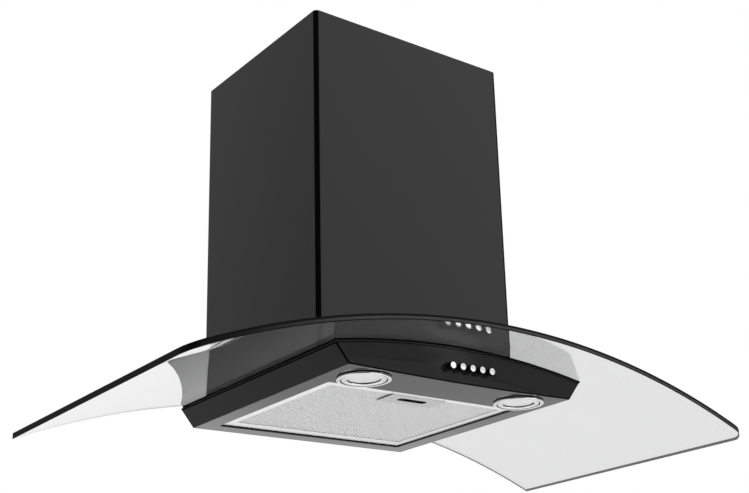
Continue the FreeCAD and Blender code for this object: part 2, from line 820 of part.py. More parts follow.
def chimney_lower():
    low_edge = arc_height("deck_top_radius", "chimney_width / 2")
    body = folded_cover("chimney_lower", "chimney_width / 2", "chimney_depth", "0",
                        low_edge, "chimney_top", "sheet_wall", "chimney_bend")
    wide = "chimney_width / 2 + overrun"
    cut(body, "XZ_Plane", minus("overrun"), "chimney_depth + 2 * overrun", [[
        (minus(wide), arc_height("deck_top_radius", wide)),
        (minus(wide), "0"),
        (wide, "0"),
        (wide, arc_height("deck_top_radius", wide), "deck_top_radius"),
    ]])
    return keep(body)


def chimney_upper():
    back = minus("sheet_wall + run_gap")
    return keep(folded_cover("chimney_upper", "upper_half", "upper_front", back, "upper_bottom",
                             "upper_top", "sheet_wall", "(chimney_bend - sheet_wall - run_gap)"))


def foot_screw_holes(radius):
    return [(f"{side} * (chimney_width / 2 - sheet_wall - foot_flange / 2)",
             minus(f"foot_from_wall + foot_length / 2 + {number} * foot_spacing"), radius)
            for side in ("-1", "1") for number in ("0", "1")]


def chimney_feet():
    """Four angle brackets on the deck that hold the lower cover and stop the upper one."""
    feet = []
    for number in ("0", "1"):
        for side in ("-1", "1"):
            body = new_body("chimney_foot")
            outer = "(chimney_width / 2 - sheet_wall)"
            start = f"foot_from_wall + {number} * foot_spacing"
            upright = [
                (f"{side} * {outer}", arc_height("deck_top_radius", outer)),
                (f"{side} * {outer}", "foot_top"),
                (f"{side} * ({outer} - 2 * sheet_wall)", "foot_top"),
                (f"{side} * ({outer} - 2 * sheet_wall)", arc_height("deck_top_radius + sheet_wall", outer)),
                (f"{side} * ({outer} - foot_flange)",
                 arc_height("deck_top_radius + sheet_wall", f"({outer} - foot_flange)")),
                (f"{side} * ({outer} - foot_flange)",
                 arc_height("deck_top_radius", f"({outer} - foot_flange)"),
                 "-(deck_top_radius)" if side == "1" else "deck_top_radius"),
            ]
            pad(body, "XZ_Plane", start, "foot_length", [upright])
            spot = (f"{side} * ({outer} - foot_flange / 2)", minus(f"{start} + foot_length / 2"), "screw_radius")
            cut(body, "XY_Plane", "0", "arch_top + sheet_wall", [], [spot])
            feet.append(body)
    return keep(group("chimney_feet", feet))


def screw(label, radius, length, head_radius, head_height):
    """Domed screw that points down from the origin, with its head above it."""
    body = new_body(label)
    turn(body, [[
        ("0", minus(length)),
        (radius, minus(length)),
        (radius, "0"),
        (head_radius, "0"),
        (f"{head_radius} / 2", head_height),
        ("0", head_height),
    ]])
    return body


def stand_on_arch(part, radius, x, y):
    """Places a piece square to the arch, at the given distance from the arch's axis."""
    lean = math.degrees(math.asin(value_of(x) / value_of("glass_top_radius")))
    part.Placement = FreeCAD.Placement(Vector(0, 0, 0), FreeCAD.Rotation(Vector(0, 1, 0), lean))
    level = f"arch_centre + ({radius}) * sqrt(1 - (({x}) / glass_top_radius) ^ 2)"
    place(part, f"({x}) * ({radius}) / glass_top_radius", y, level)


def glass_fixings():
    """Screws, nuts and soft washers that clamp the canopy to the deck."""
    screws = []
    washers = []
    for x, y, _ in glass_holes("glass_hole_radius"):
        length = "washer_thickness + glass_thickness + gasket_thickness + sheet_wall + nut_height + 2 * fit_gap"
        body = screw("glass_screw", "glass_screw_radius", length, "glass_screw_head_radius",
                     "glass_screw_head_height")
        stand_on_arch(body, "glass_top_radius + washer_thickness + fit_gap / 2", x, y)
        screws.append(body)
        nut = doc.addObject("Part::Prism", "glass_nut")
        nut.Polygon = 6
        nut.setExpression("Circumradius", expand("nut_radius"))
        nut.setExpression("Height", expand("nut_height"))
        stand_on_arch(nut, "deck_under_radius - nut_height - fit_gap / 4", x, y)
        bore = doc.addObject("Part::Cylinder", "glass_nut_bore")
        bore.setExpression("Radius", expand("glass_screw_radius"))
        bore.setExpression("Height", expand("nut_height"))
        stand_on_arch(bore, "deck_under_radius - nut_height - fit_gap / 4", x, y)
        bored = doc.addObject("Part::Cut", "glass_nut_bored")
        bored.Base = nut
        bored.Tool = bore
        screws.append(bored)
        washer = new_body("glass_washer")
        turn(washer, [[
            ("glass_screw_radius + fit_gap", "0"),
            ("glass_screw_head_radius + washer_thickness", "0"),
            ("glass_screw_head_radius", "washer_thickness"),
            ("glass_screw_radius + fit_gap", "washer_thickness"),
        ]])
        stand_on_arch(washer, "glass_top_radius + fit_gap / 4", x, y)
        washers.append(washer)
    keep(group("glass_screws", screws))
    keep(group("glass_washers", washers))


def foot_screws():
    screws = []
    for x, y, _ in foot_screw_holes("screw_radius"):
        body = screw("foot_screw", "screw_radius", "2 * sheet_wall + screw_head_height",
                     "screw_head_radius", "screw_head_height")
        body.Placement = FreeCAD.Placement(Vector(0, 0, 0), FreeCAD.Rotation(Vector(1, 0, 0), 180))
        place(body, x, y, arc_height("deck_under_radius", f"(abs({x}) + screw_head_radius)"))
        screws.append(body)
    return keep(group("foot_screws", screws))


# Wall fixings
def back_plate():
    """Upright plate with two keyholes; the hood hangs on it."""
    body = new_body("back_plate")
    half = "back_plate_width / 2"
    foot = arc_height("deck_top_radius", half)
    pad(body, "XZ_Plane", "0", "sheet_wall", [[
        (minus(half), foot, "-(deck_top_radius)"),
        (half, foot),
        (half, "back_plate_top"),
        (minus(half), "back_plate_top"),
    ]])
    for side in ("-1", "1"):
        x = f"{side} * keyhole_spacing / 2"
        cut(body, "XZ_Plane", minus("overrun"), "sheet_wall + 2 * overrun", [],
            [(x, "keyhole_height", "keyhole_slot / 2")])
        cut(body, "XZ_Plane", minus("overrun"), "sheet_wall + 2 * overrun", [],
            [(x, "keyhole_height - keyhole_rise - keyhole_head / 2", "keyhole_head / 2")])
        cut(body, "XZ_Plane", minus("overrun"), "sheet_wall + 2 * overrun", [box_loop(
            f"{x} - keyhole_slot / 2", f"{x} + keyhole_slot / 2",
            "keyhole_height - keyhole_rise - keyhole_head / 2", "keyhole_height")])
    cut(body, "XZ_Plane", minus("overrun"), "sheet_wall + 2 * overrun", [], [
        (f"{side} * wall_screw_spacing / 2", "back_plate_top - keyhole_head", "keyhole_slot / 2")
        for side in ("-1", "1")])
    return keep(body)


def chimney_bracket():
    """Channel inside the top of the upper cover that is screwed to the wall."""
    body = new_body("chimney_bracket")
    half = "(upper_half - sheet_wall - fit_gap)"
    back = "(2 * sheet_wall + run_gap + fit_gap)"
    floor = "upper_top - upper_drop - bracket_height"
    pad(body, "XY_Plane", floor, "bracket_height", [[
        (minus(half), minus(f"{back} + bracket_wing")),
        (f"{minus(half)} + sheet_wall", minus(f"{back} + bracket_wing")),
        (f"{minus(half)} + sheet_wall", minus(f"{back} + sheet_wall")),
        (f"{half} - sheet_wall", minus(f"{back} + sheet_wall")),
        (f"{half} - sheet_wall", minus(f"{back} + bracket_wing")),
        (half, minus(f"{back} + bracket_wing")),
        (half, minus(back)),
        (minus(half), minus(back)),
    ]])
    level = f"{floor} + bracket_height / 2"
    cut(body, "XZ_Plane", f"{back} - overrun", "sheet_wall + 2 * overrun", [],
        [(f"{side} * bracket_hole_spacing / 2", level, "bracket_hole / 2") for side in ("-1", "1")])
    screw_spot = minus(f"{back} + bracket_wing / 2")
    for start in (minus(f"{half} + overrun"), f"{half} - sheet_wall - overrun"):
        cut(body, "YZ_Plane", start, "sheet_wall + 2 * overrun", [], [(screw_spot, level, "screw_radius")])
    return keep(body)


def bracket_screws():
    """One screw on each side, from inside the bracket into the upper cover."""
    screws = []
    back = "(2 * sheet_wall + run_gap + fit_gap)"
    inner = "(upper_half - 2 * sheet_wall - fit_gap)"
    for side, angle in (("-1", 90), ("1", -90)):
        body = screw("bracket_screw", "screw_radius", "sheet_wall + fit_gap",
                     "screw_head_radius", "screw_head_height")
        place(body, f"{side} * {inner}", minus(f"{back} + bracket_wing / 2"),
              "upper_top - upper_drop - bracket_height / 2", Vector(0, 1, 0), angle)
        screws.append(body)
    return keep(group("bracket_screws", screws))


# Motor box, open underneath, with the blower hung inside it
def motor_box():
    body = new_body("motor_box")
    half = "box_width / 2"
    floor = arc_height("deck_top_radius", half)
    pad(body, "XY_Plane", floor, f"box_top - ({floor})",
        [box_loop(minus(half), half, minus("box_front"), minus("box_back"))])
    cut(body, "XY_Plane", "0", "box_top - sheet_wall", [box_loop(
        minus(f"{half} - sheet_wall"), f"{half} - sheet_wall",
        minus("box_front - sheet_wall"), minus("box_back + sheet_wall"))])
    wide = f"{half} + overrun"
    cut(body, "XZ_Plane", "0", "box_front + overrun", [[
        (minus(wide), arc_height("deck_top_radius", wide)),
        (minus(wide), "0"),
        (wide, "0"),
        (wide, arc_height("deck_top_radius", wide), "deck_top_radius"),
    ]])
    cut(body, "XY_Plane", "box_top - overrun", "2 * overrun", [],
        [("0", minus("collar_from_wall"), "collar_bore")])
    return keep(body)


def scroll_outline(grow="0"):
    """Spiral round the wheel, drawn as four arcs, with its straight outlet at the back."""
    back = f"scroll_back_radius - ({grow})"
    front = f"scroll_front_radius - ({grow})"
    low = f"scroll_low_radius - ({grow})"
    tongue_x = f"outlet_front + ({grow})"
    tongue_z = f"tongue_rise - ({grow})"
    top = "scroll_rise" if grow == "0" else "scroll_rise + overrun"
    return [
        (back, "0"),
        (back, top),
        (tongue_x, top),
        (tongue_x, tongue_z, f"scroll_start_radius + scroll_growth / 2 - ({grow})"),
        (minus(front), "0", f"scroll_start_radius + 1.5 * scroll_growth - ({grow})"),
        ("0", minus(low), f"scroll_start_radius + 2.5 * scroll_growth - ({grow})"),
    ]


def scroll_half(label, side):
    body = new_body(label)
    half = "scroll_width / 2"
    start = minus(half) if side < 0 else "0"
    inside = f"{minus(half)} + scroll_wall" if side < 0 else "0"
    pad(body, "YZ_Plane", start, half, [scroll_outline()])
    cut(body, "YZ_Plane", inside, f"{half} - scroll_wall", [scroll_outline("scroll_wall")])
    lip_start = minus(f"{half} + inlet_lip") if side < 0 else half
    pad(body, "YZ_Plane", lip_start, "inlet_lip", [], [("0", "0", "inlet_radius + 2 * scroll_wall")])
    through = minus(f"{half} + inlet_lip + overrun") if side < 0 else f"{half} - scroll_wall - overrun"
    cut(body, "YZ_Plane", through, "inlet_lip + scroll_wall + 2 * overrun", [], [("0", "0", "inlet_radius")])
    place(body, "0", minus("blower_from_wall"), "blower_height")
    return keep(body)


def impeller_wheel():
    """Squirrel-cage wheel: centre disc, two rims and a ring of curved blades."""
    body = new_body("impeller_wheel")
    half = "wheel_width / 2"
    pad(body, "XY_Plane", minus("wheel_sheet / 2"), "wheel_sheet", [], [("0", "0", "wheel_radius")])
    pad(body, "XY_Plane", minus("hub_length / 2"), "hub_length", [], [("0", "0", "hub_radius")])
    for start in (minus(half), f"{half} - wheel_sheet"):
        pad(body, "XY_Plane", start, "wheel_sheet", [],
            [("0", "0", "wheel_radius"), ("0", "0", "wheel_bore_radius")])
    inner_x = "wheel_bore_radius + blade_thickness / 2"
    middle_x = "(wheel_bore_radius + wheel_radius) / 2"
    outer_x = "sqrt((wheel_radius - blade_thickness / 2) ^ 2 - blade_lean ^ 2)"
    blade = pad(body, "XY_Plane", minus(half), "wheel_width", [[
        (inner_x, "0"),
        (middle_x, "blade_lean * blade_belly_share"),
        (outer_x, "blade_lean"),
        (f"{outer_x} - blade_thickness / 2", "blade_lean + blade_thickness"),
        (f"{middle_x} - blade_thickness / 2", "blade_lean * blade_belly_share + blade_thickness"),
        (inner_x, "blade_thickness"),
    ]])
    spin_pattern(body, [blade], "blade_count")
    cut(body, "XY_Plane", minus("hub_length"), "2 * hub_length", [], [("0", "0", "shaft_radius")])
    place(body, "0", minus("blower_from_wall"), "blower_height", Vector(0, 1, 0), 90)
    return keep(body)


def motor_shaft():
    part = doc.addObject("Part::Cylinder", "motor_shaft")
    part.setExpression("Radius", expand("shaft_radius"))
    part.setExpression("Height", expand("shaft_length"))
    place(part, minus("hub_length / 2 + shaft_radius"), minus("blower_from_wall"), "blower_height",
          Vector(0, 1, 0), 90)
    return keep(part)


def motor():
    """Motor can with cooling ribs, in the right-hand inlet; its nose faces the hub."""
    body = new_body("motor")
    nose = "hub_length / 2 + fit_gap"
    bell = f"{nose} + hub_length"
    tail = f"{nose} + motor_length"
    bore = "shaft_radius + run_gap"
    depth = f"shaft_length - hub_length / 2 - shaft_radius + run_gap"
    turn(body, [[
        (bore, nose),
        ("motor_bell_radius", nose),
        ("motor_radius", bell),
        ("motor_radius", tail),
        ("0", tail),
        ("0", depth),
        (bore, depth),
    ]])
    rib = pad(body, "XY_Plane", bell, f"{tail} - ({bell}) - hub_length", [box_loop(
        "motor_radius - motor_rib", "motor_radius + motor_rib", minus("motor_rib / 2"), "motor_rib / 2")])
    spin_pattern(body, [rib], "motor_rib_count")
    place(body, "0", minus("blower_from_wall"), "blower_height", Vector(0, 1, 0), 90)
    return keep(body)


def motor_bracket():
    """Ring round the motor's tail with three arms to the scroll's inlet lip."""
    body = new_body("motor_bracket")
    seat = "scroll_width / 2 + inlet_lip"
    pad(body, "XY_Plane", seat, "arm_thickness", [], [("0", "0", "motor_radius + arm_width / 2")])
    arm = pad(body, "XY_Plane", seat, "arm_thickness", [box_loop(
        "motor_radius", "inlet_radius + 2 * scroll_wall", minus("arm_width / 2"), "arm_width / 2")])
    spin_pattern(body, [arm], "arm_count")
    cut(body, "XY_Plane", f"{seat} - overrun", "arm_thickness + 2 * overrun", [], [("0", "0", "motor_radius")])
    place(body, "0", minus("blower_from_wall"), "blower_height", Vector(0, 1, 0), 90)
    return keep(body)


def capacitor():
    body = new_body("capacitor")
    radius = "capacitor_radius"
    turn(body, [[
        ("0", "0"),
        (f"{radius} - motor_rib", "0"),
        (radius, "motor_rib"),
        (radius, "capacitor_length"),
        ("0", "capacitor_length"),
    ]])
    place(body, minus("capacitor_x"), minus("capacitor_from_wall"), "box_top - sheet_wall - capacitor_length")
    return keep(body)


# Duct collar with its non-return damper
def duct_collar():
    body = new_body("duct_collar")
    turn(body, [[
        ("collar_bore", "0"),
        ("collar_radius + collar_flange", "0"),
        ("collar_radius + collar_flange", "sheet_wall"),
        ("collar_radius", "sheet_wall"),
        ("collar_radius", "collar_height - collar_wall / 2"),
        ("collar_radius - collar_wall / 2", "collar_height"),
        ("collar_bore", "collar_height"),
        ("collar_bore", "ledge_height"),
        ("ledge_bore", "ledge_height"),
        ("ledge_bore", "ledge_height - sheet_wall"),
        ("collar_bore", "ledge_height - sheet_wall"),
    ]])
    cut(body, "YZ_Plane", minus("collar_radius + overrun"), "2 * (collar_radius + overrun)", [],
        [("0", "flap_height - box_top", "pin_radius")])
    place(body, "0", minus("collar_from_wall"), "box_top")
    return keep(body)


def damper_pin():
    part = doc.addObject("Part::Cylinder", "damper_pin")
    part.setExpression("Radius", expand("pin_radius"))
    part.setExpression("Height", expand("2 * collar_radius"))
    place(part, minus("collar_radius"), minus("collar_from_wall"), "flap_height", Vector(0, 1, 0), 90)
    return keep(part)


def damper_flap(label, side):
    """Half-round flap with two knuckles on the pin; the two flaps' knuckles alternate."""
    body = new_body(label)
    edge = "knuckle_radius + fit_gap"
    wide = "sqrt(flap_radius ^ 2 - (knuckle_radius + fit_gap) ^ 2)"
    level = minus("flap_thickness / 2")
    if side < 0:
        outline = [(wide, minus(edge)), (minus(wide), minus(edge), "flap_radius")]
    else:
        outline = [(minus(wide), edge), (wide, edge, "flap_radius")]
    pad(body, "XY_Plane", level, "flap_thickness", [outline])
    for spot in ("knuckle_offset", "-(knuckle_offset) - 2 * knuckle_length"):
        start = spot if side > 0 else f"{spot} + knuckle_length + run_gap"
        pad(body, "XY_Plane", level, "flap_thickness", [box_loop(
            start, f"{start} + knuckle_length",
            "-(knuckle_radius + 2 * flap_thickness)" if side < 0 else "knuckle_bore + knuckle_wall / 2",
            "-(knuckle_bore + knuckle_wall / 2)" if side < 0 else "knuckle_radius + 2 * flap_thickness")])
        pad(body, "YZ_Plane", start, "knuckle_length", [],
            [("0", "0", "knuckle_radius"), ("0", "0", "knuckle_bore")])
    place(body, "0", minus("collar_from_wall"), "flap_height")
    return keep(body)


# Electrical pieces on top of the motor box
def terminal_box():
    body = new_body("terminal_box")
    half = "terminal_width / 2"
    front = minus("box_front - 2 * sheet_wall")
    pad(body, "XY_Plane", "box_top", "terminal_height", [box_loop(
        f"terminal_x - {half}", f"terminal_x + {half}", front, f"{front} + terminal_depth", "4 * sheet_wall")])
    cut(body, "XY_Plane", "box_top", "terminal_height - sheet_wall", [box_loop(
        f"terminal_x - {half} + sheet_wall", f"terminal_x + {half} - sheet_wall",
        f"{front} + sheet_wall", f"{front} + terminal_depth - sheet_wall", "3 * sheet_wall")])
    cut(body, "XY_Plane", "box_top + terminal_height - overrun", "2 * overrun", [],
        [("terminal_x", f"{front} + terminal_depth / 2", "gland_radius - sheet_wall")])
    return keep(body)


def cable_gland():
    body = new_body("cable_gland")
    turn(body, [[
        ("gland_bore", minus("gland_height / 4")),
        ("gland_radius - sheet_wall", minus("gland_height / 4")),
        ("gland_radius - sheet_wall", "0"),
        ("gland_radius + sheet_wall", "0"),
        ("gland_radius + sheet_wall", "gland_height / 3"),
        ("gland_radius - sheet_wall", "gland_height / 3"),
        ("gland_radius - 2 * sheet_wall", "gland_height"),
        ("gland_bore", "gland_height"),
    ]])
    front = minus("box_front - 2 * sheet_wall")
    place(body, "terminal_x", f"{front} + terminal_depth / 2", "box_top + terminal_height")
    return keep(body)


def transformer():
    """Lamp transformer in a moulded case with two screw ears."""
    body = new_body("transformer")
    half = "transformer_width / 2"
    front = minus("box_front - 2 * sheet_wall")
    middle = minus("transformer_x")
    pad(body, "XY_Plane", "box_top", "transformer_height", [box_loop(
        f"{middle} - {half} + ear", f"{middle} + {half} - ear", front, f"{front} + transformer_depth",
        "2 * sheet_wall")])
    pad(body, "XY_Plane", "box_top", "2 * sheet_wall", [box_loop(
        f"{middle} - {half}", f"{middle} + {half}",
        f"{front} + transformer_depth / 4", f"{front} + transformer_depth * 3 / 4", "sheet_wall")])
    cut(body, "XY_Plane", "box_top - overrun", "2 * overrun + 2 * sheet_wall", [], [
        (f"{middle} + {side} * ({half} - ear / 2)", f"{front} + transformer_depth / 2", "screw_radius")
        for side in ("-1", "1")])
    return keep(body)


# Push buttons behind the fascia
def switch_block():
    body = new_body("switch_block")
    left = "first_button_x + switch_side"
    right = "last_button_x + switch_side"
    ear = "switch_side / 2"
    low = "button_height - switch_body_height / 2"
    pad(body, "XY_Plane", low, "switch_body_height", [[
        (minus(f"{left} + {ear}"), minus("shell_depth")),
        (minus(left), minus("shell_depth")),
        (minus(left), minus("switch_front")),
        (right, minus("switch_front")),
        (right, minus("shell_depth")),
        (f"{right} + {ear}", minus("shell_depth")),
        (f"{right} + {ear}", minus("switch_front - switch_body_depth")),
        (minus(f"{left} + {ear}"), minus("switch_front - switch_body_depth")),
    ]])
    depth = "switch_side / 2 + button_travel + fit_gap"
    hole = cut(body, "XZ_Plane", f"switch_front - ({depth})", f"{depth} + overrun", [],
               [(minus("first_button_x"), "button_height", "stem_bore")])
    repeat(body, hole, "XZ_Plane", "X_Axis", "button_pitch", "button_count")
    return keep(body)


def button_collars():
    rings = []
    for number in range(SIZES["button_count"]):
        ring = new_body("button_collar")
        turn(ring, [[
            ("stem_bore", "0"),
            ("collar_ring_radius", "0"),
            ("collar_ring_radius", "collar_ring_reach / 2"),
            ("collar_ring_radius - collar_ring_reach / 2", "collar_ring_reach"),
            ("stem_bore", "collar_ring_reach"),
        ], ])
        pad(ring, "XY_Plane", "-(fascia_thickness + collar_ring_reach)",
                          "fascia_thickness + collar_ring_reach", [],
                          [("0", "0", "fascia_hole_radius"), ("0", "0", "stem_bore")])
        place(ring, f"{number} * button_pitch - first_button_x", minus("body_depth"), "button_height", Vector(1, 0, 0), 90)
        rings.append(ring)
    return keep(group("button_collars", rings))


def push_button(number):
    """Turned stem with a bright domed cap, along the stem's own axis."""
    x = f"{number - 1} * button_pitch - first_button_x"
    stem = new_body(f"button_stem_{number}")
    turn(stem, [[
        ("0", minus("stem_length + cap_length")),
        ("stem_radius - sheet_wall / 2", minus("stem_length + cap_length")),
        ("stem_radius", minus("stem_length + cap_length - sheet_wall")),
        ("stem_radius", minus("cap_length")),
        ("0", minus("cap_length")),
    ]])
    place(stem, x, minus("button_face"), "button_height", Vector(1, 0, 0), 90)
    cap = new_body(f"button_cap_{number}")
    turn(cap, [[
        ("0", minus("cap_length")),
        ("cap_radius", minus("cap_length")),
        ("cap_radius", minus("cap_length / 4")),
        ("cap_radius - cap_length / 4", "0"),
        ("0", "0"),
    ]])
    place(cap, x, minus("button_face"), "button_height", Vector(1, 0, 0), 90)
    keep(stem)
    keep(cap)


# Lamps: turned pieces that hang through the underside panel
def lamp(side_name, side):
    x = f"{side} * lamp_x"
    y = minus("lamp_from_wall")
    bezel = new_body(f"lamp_bezel_{side_name}")
    step = "(bezel_proud / 2)"
    turn(bezel, [[
        ("lens_radius + fit_gap", minus("bezel_proud - can_wall")),
        ("lens_radius + fit_gap + can_wall", minus("bezel_proud")),
        ("bezel_radius - can_wall", minus("bezel_proud")),
        ("bezel_radius", minus("bezel_proud - can_wall")),
        ("bezel_radius", "0"),
        ("bezel_inner_radius", "0"),
        ("bezel_inner_radius", "bezel_tube"),
        ("bezel_inner_radius - can_wall", "bezel_tube"),
        ("bezel_inner_radius - can_wall", f"{minus(step)} + can_wall"),
        ("lens_radius + fit_gap", f"{minus(step)} + can_wall"),
    ]])
    place(bezel, x, y, "0")
    keep(bezel)
    lens = new_body(f"lamp_lens_{side_name}")
    turn(lens, [[
        ("0", minus(f"{step} + lens_thickness / 4")),
        ("lens_radius", minus(step)),
        ("lens_radius", f"{minus(step)} + can_wall + fit_gap"),
        ("lens_radius + can_wall", f"{minus(step)} + can_wall + fit_gap"),
        ("lens_radius + can_wall", f"{minus(step)} + lens_thickness"),
        ("0", f"{minus(step)} + lens_thickness"),
    ]])
    place(lens, x, y, "0")
    keep(lens)
    can = new_body(f"lamp_can_{side_name}")
    outer = "(bezel_inner_radius - can_wall - fit_gap / 2)"
    turn(can, [[
        (outer, "lens_thickness"),
        (f"{outer} - bulb_radius", "can_height"),
        ("0", "can_height"),
        ("0", "can_height - can_wall"),
        (f"{outer} - bulb_radius - can_wall", "can_height - can_wall"),
        (f"{outer} - can_wall", "lens_thickness"),
    ]])
    place(can, x, y, "0")
    keep(can)


def lamp_bulbs():
    bulbs = []
    for side in ("-1", "1"):
        bulb = new_body("lamp_bulb")
        turn(bulb, [[
            ("0", minus("bulb_length")),
            ("bulb_radius / 2", minus("bulb_length")),
            ("bulb_radius", minus("bulb_length - bulb_radius / 2")),
            ("bulb_radius", minus("bulb_radius")),
            ("bulb_radius / 2", minus("bulb_radius / 2")),
            ("bulb_radius / 2", "0"),
            ("0", "0"),
        ]])
        place(bulb, f"{side} * lamp_x", minus("lamp_from_wall"), "can_height - can_wall")
        bulbs.append(bulb)
    return keep(group("lamp_bulbs", bulbs))


body_shell()
front_fascia()
top_deck()
underside_panel()
glass_canopy()
glass_gasket()
glass_fixings()
chimney_lower()
chimney_feet()
foot_screws()
back_plate()
motor_box()
scroll_half("scroll_left", -1)
scroll_half("scroll_right", 1)
motor()
motor_bracket()
capacitor()
duct_collar()
damper_pin()
terminal_box()
cable_gland()
transformer()
switch_block()
button_collars()
for lamp_side, lamp_sign in (("left", "-1"), ("right", "1")):
    lamp(lamp_side, lamp_sign)
lamp_bulbs()
chimney_upper()
chimney_bracket()
bracket_screws()
filter_frame()
filter_face_mesh()
filter_core()
filter_back_mesh()
filter_pins()
latch_plate()
latch_cup()
latch_bolt()
latch_springs()
impeller_wheel()
motor_shaft()
damper_flap("damper_flap_front", -1)
damper_flap("damper_flap_back", 1)
for button in range(1, SIZES["button_count"] + 1):
    push_button(button)

doc.recompute()
for item in doc.Objects:
    if "Invalid" in item.State or "Error" in item.State:
        raise RuntimeError(f"{item.Label} did not rebuild: {item.State}")
for part in NODES:
    if part.Shape.isNull() or not part.Shape.isValid():
        raise RuntimeError(f"{part.Label} has no valid shape")
for part in NODES:
    part.Shape.exportStep(f"parts/{part.Label}.step")
print(len(NODES), "pieces written")
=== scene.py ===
import json
import math

import bmesh
import bpy
from mathutils import Matrix, Vector

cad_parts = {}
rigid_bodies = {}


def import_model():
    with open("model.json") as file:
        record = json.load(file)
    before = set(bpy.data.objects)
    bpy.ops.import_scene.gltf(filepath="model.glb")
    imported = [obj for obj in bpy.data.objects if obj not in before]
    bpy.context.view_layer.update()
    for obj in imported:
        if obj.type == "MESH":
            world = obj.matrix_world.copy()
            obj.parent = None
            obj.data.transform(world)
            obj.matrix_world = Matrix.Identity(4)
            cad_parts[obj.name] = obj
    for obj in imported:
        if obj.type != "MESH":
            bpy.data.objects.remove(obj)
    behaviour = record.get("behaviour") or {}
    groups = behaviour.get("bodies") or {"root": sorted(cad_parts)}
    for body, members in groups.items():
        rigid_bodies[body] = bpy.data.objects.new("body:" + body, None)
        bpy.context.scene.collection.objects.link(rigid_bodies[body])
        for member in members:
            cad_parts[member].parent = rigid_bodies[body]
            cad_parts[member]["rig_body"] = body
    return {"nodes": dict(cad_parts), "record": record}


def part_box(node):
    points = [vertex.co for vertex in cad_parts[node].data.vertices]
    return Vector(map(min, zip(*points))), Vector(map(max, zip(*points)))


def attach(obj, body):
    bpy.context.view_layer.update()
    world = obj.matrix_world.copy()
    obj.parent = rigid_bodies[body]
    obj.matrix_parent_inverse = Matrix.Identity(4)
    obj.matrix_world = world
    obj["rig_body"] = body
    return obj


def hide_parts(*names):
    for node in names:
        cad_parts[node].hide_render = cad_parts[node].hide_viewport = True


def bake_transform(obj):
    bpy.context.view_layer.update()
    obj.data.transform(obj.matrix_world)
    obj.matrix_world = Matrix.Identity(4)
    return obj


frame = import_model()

NODES = frame["nodes"]
SCENE = bpy.context.scene
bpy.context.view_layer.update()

# Sizes of the hood, in metres, as in the part's source
ARCH_RADIUS = 1.147
ARCH_TOP = 0.0473
ARCH_CENTRE = ARCH_TOP - ARCH_RADIUS
GLASS_THICKNESS = 0.0075
GASKET = 0.0023
SHEET = 0.0012


# Camera at the photograph's viewing angle
def aim_camera():
    yaw, pitch, roll = 0.6959, 0.3303, -0.0466
    focal_pixels, picture_width = 1302.78, 749
    ahead = Vector((math.sin(yaw) * math.cos(pitch), math.cos(yaw) * math.cos(pitch), math.sin(pitch)))
    level = Vector((math.cos(yaw), -math.sin(yaw), 0))
    upright = level.cross(ahead)
    right = level * math.cos(roll) + upright * math.sin(roll)
    up = upright * math.cos(roll) - level * math.sin(roll)
    data = bpy.data.cameras.new("camera")
    data.sensor_fit = "HORIZONTAL"
    data.sensor_width = 36
    data.lens = data.sensor_width * focal_pixels / picture_width
    data.shift_x = -0.1142
    data.shift_y = 0.0514
    camera = bpy.data.objects.new("camera", data)
    SCENE.collection.objects.link(camera)
    place = Matrix((right, up, -ahead)).transposed().to_4x4()
    place.translation = (-1.06180, -1.66327, -0.43145)
    camera.matrix_world = place
    SCENE.camera = camera


# Making and joining nodes
def connect(tree, value, socket):
    """Links an output to a socket, or writes a plain value into it."""
    if isinstance(value, bpy.types.NodeSocket):
        tree.links.new(value, socket)
    else:
        socket.default_value = value


def add_node(tree, kind, **inputs):
    """A node with the inputs given; an input's name has _ for a space."""
    node = tree.nodes.new(kind)
    for label, value in inputs.items():
        connect(tree, value, node.inputs[label.replace("_", " ")])
    return node


def math_node(tree, operation, *values, kind="ShaderNodeMath", output=0):
    node = tree.nodes.new(kind)
    node.operation = operation
    for index, value in enumerate(values):
        connect(tree, value, node.inputs[index])
    return node.outputs[output]


def vector_math(tree, operation, *values):
    gives_number = operation in ("DISTANCE", "DOT_PRODUCT")
    return math_node(tree, operation, *values, kind="ShaderNodeVectorMath", output=1 if gives_number else 0)


def one_minus(tree, value):
    return math_node(tree, "SUBTRACT", 1.0, value)


def axes(tree, vector):
    """The X, Y and Z of a vector, by name."""
    return add_node(tree, "ShaderNodeSeparateXYZ", Vector=vector).outputs


def vector_of(tree, **parts):
    """A vector with the given X, Y or Z; the others are 0."""
    return add_node(tree, "ShaderNodeCombineXYZ", **parts).outputs[0]


def smooth_step(tree, value, first, last, low=0.0, high=1.0):
    """low up to first, high from last on, and a smooth turn between them."""
    node = add_node(tree, "ShaderNodeMapRange", Value=value, From_Min=first, From_Max=last, To_Min=low,
                    To_Max=high)
    node.interpolation_type = "SMOOTHSTEP"
    return node.outputs["Result"]


def mixed_colours(tree, share, first, second, blend="MIX"):
    node = tree.nodes.new("ShaderNodeMix")
    node.data_type = "RGBA"
    node.blend_type = blend
    for index, value in ((0, share), (6, first), (7, second)):
        connect(tree, value, node.inputs[index])
    return node.outputs[2]


def mixed_shaders(tree, share, first, second):
    node = tree.nodes.new("ShaderNodeMixShader")
    for index, output in enumerate((share, first.outputs[0], second.outputs[0])):
        tree.links.new(output, node.inputs[index])
    return node


def new_group(name, inputs, outputs, kind="ShaderNodeTree"):
    """A group with inputs (name, kind, value) and outputs (name, kind), and the sockets inside it."""
    group = bpy.data.node_groups.new(name, kind)
    for label, data, value in inputs:
        socket = group.interface.new_socket(name=label, in_out="INPUT", socket_type="NodeSocket" + data)
        if value is not None:
            socket.default_value = value
    for label, data in outputs:
        group.interface.new_socket(name=label, in_out="OUTPUT", socket_type="NodeSocket" + data)
    return group, group.nodes.new("NodeGroupInput").outputs, group.nodes.new("NodeGroupOutput").inputs


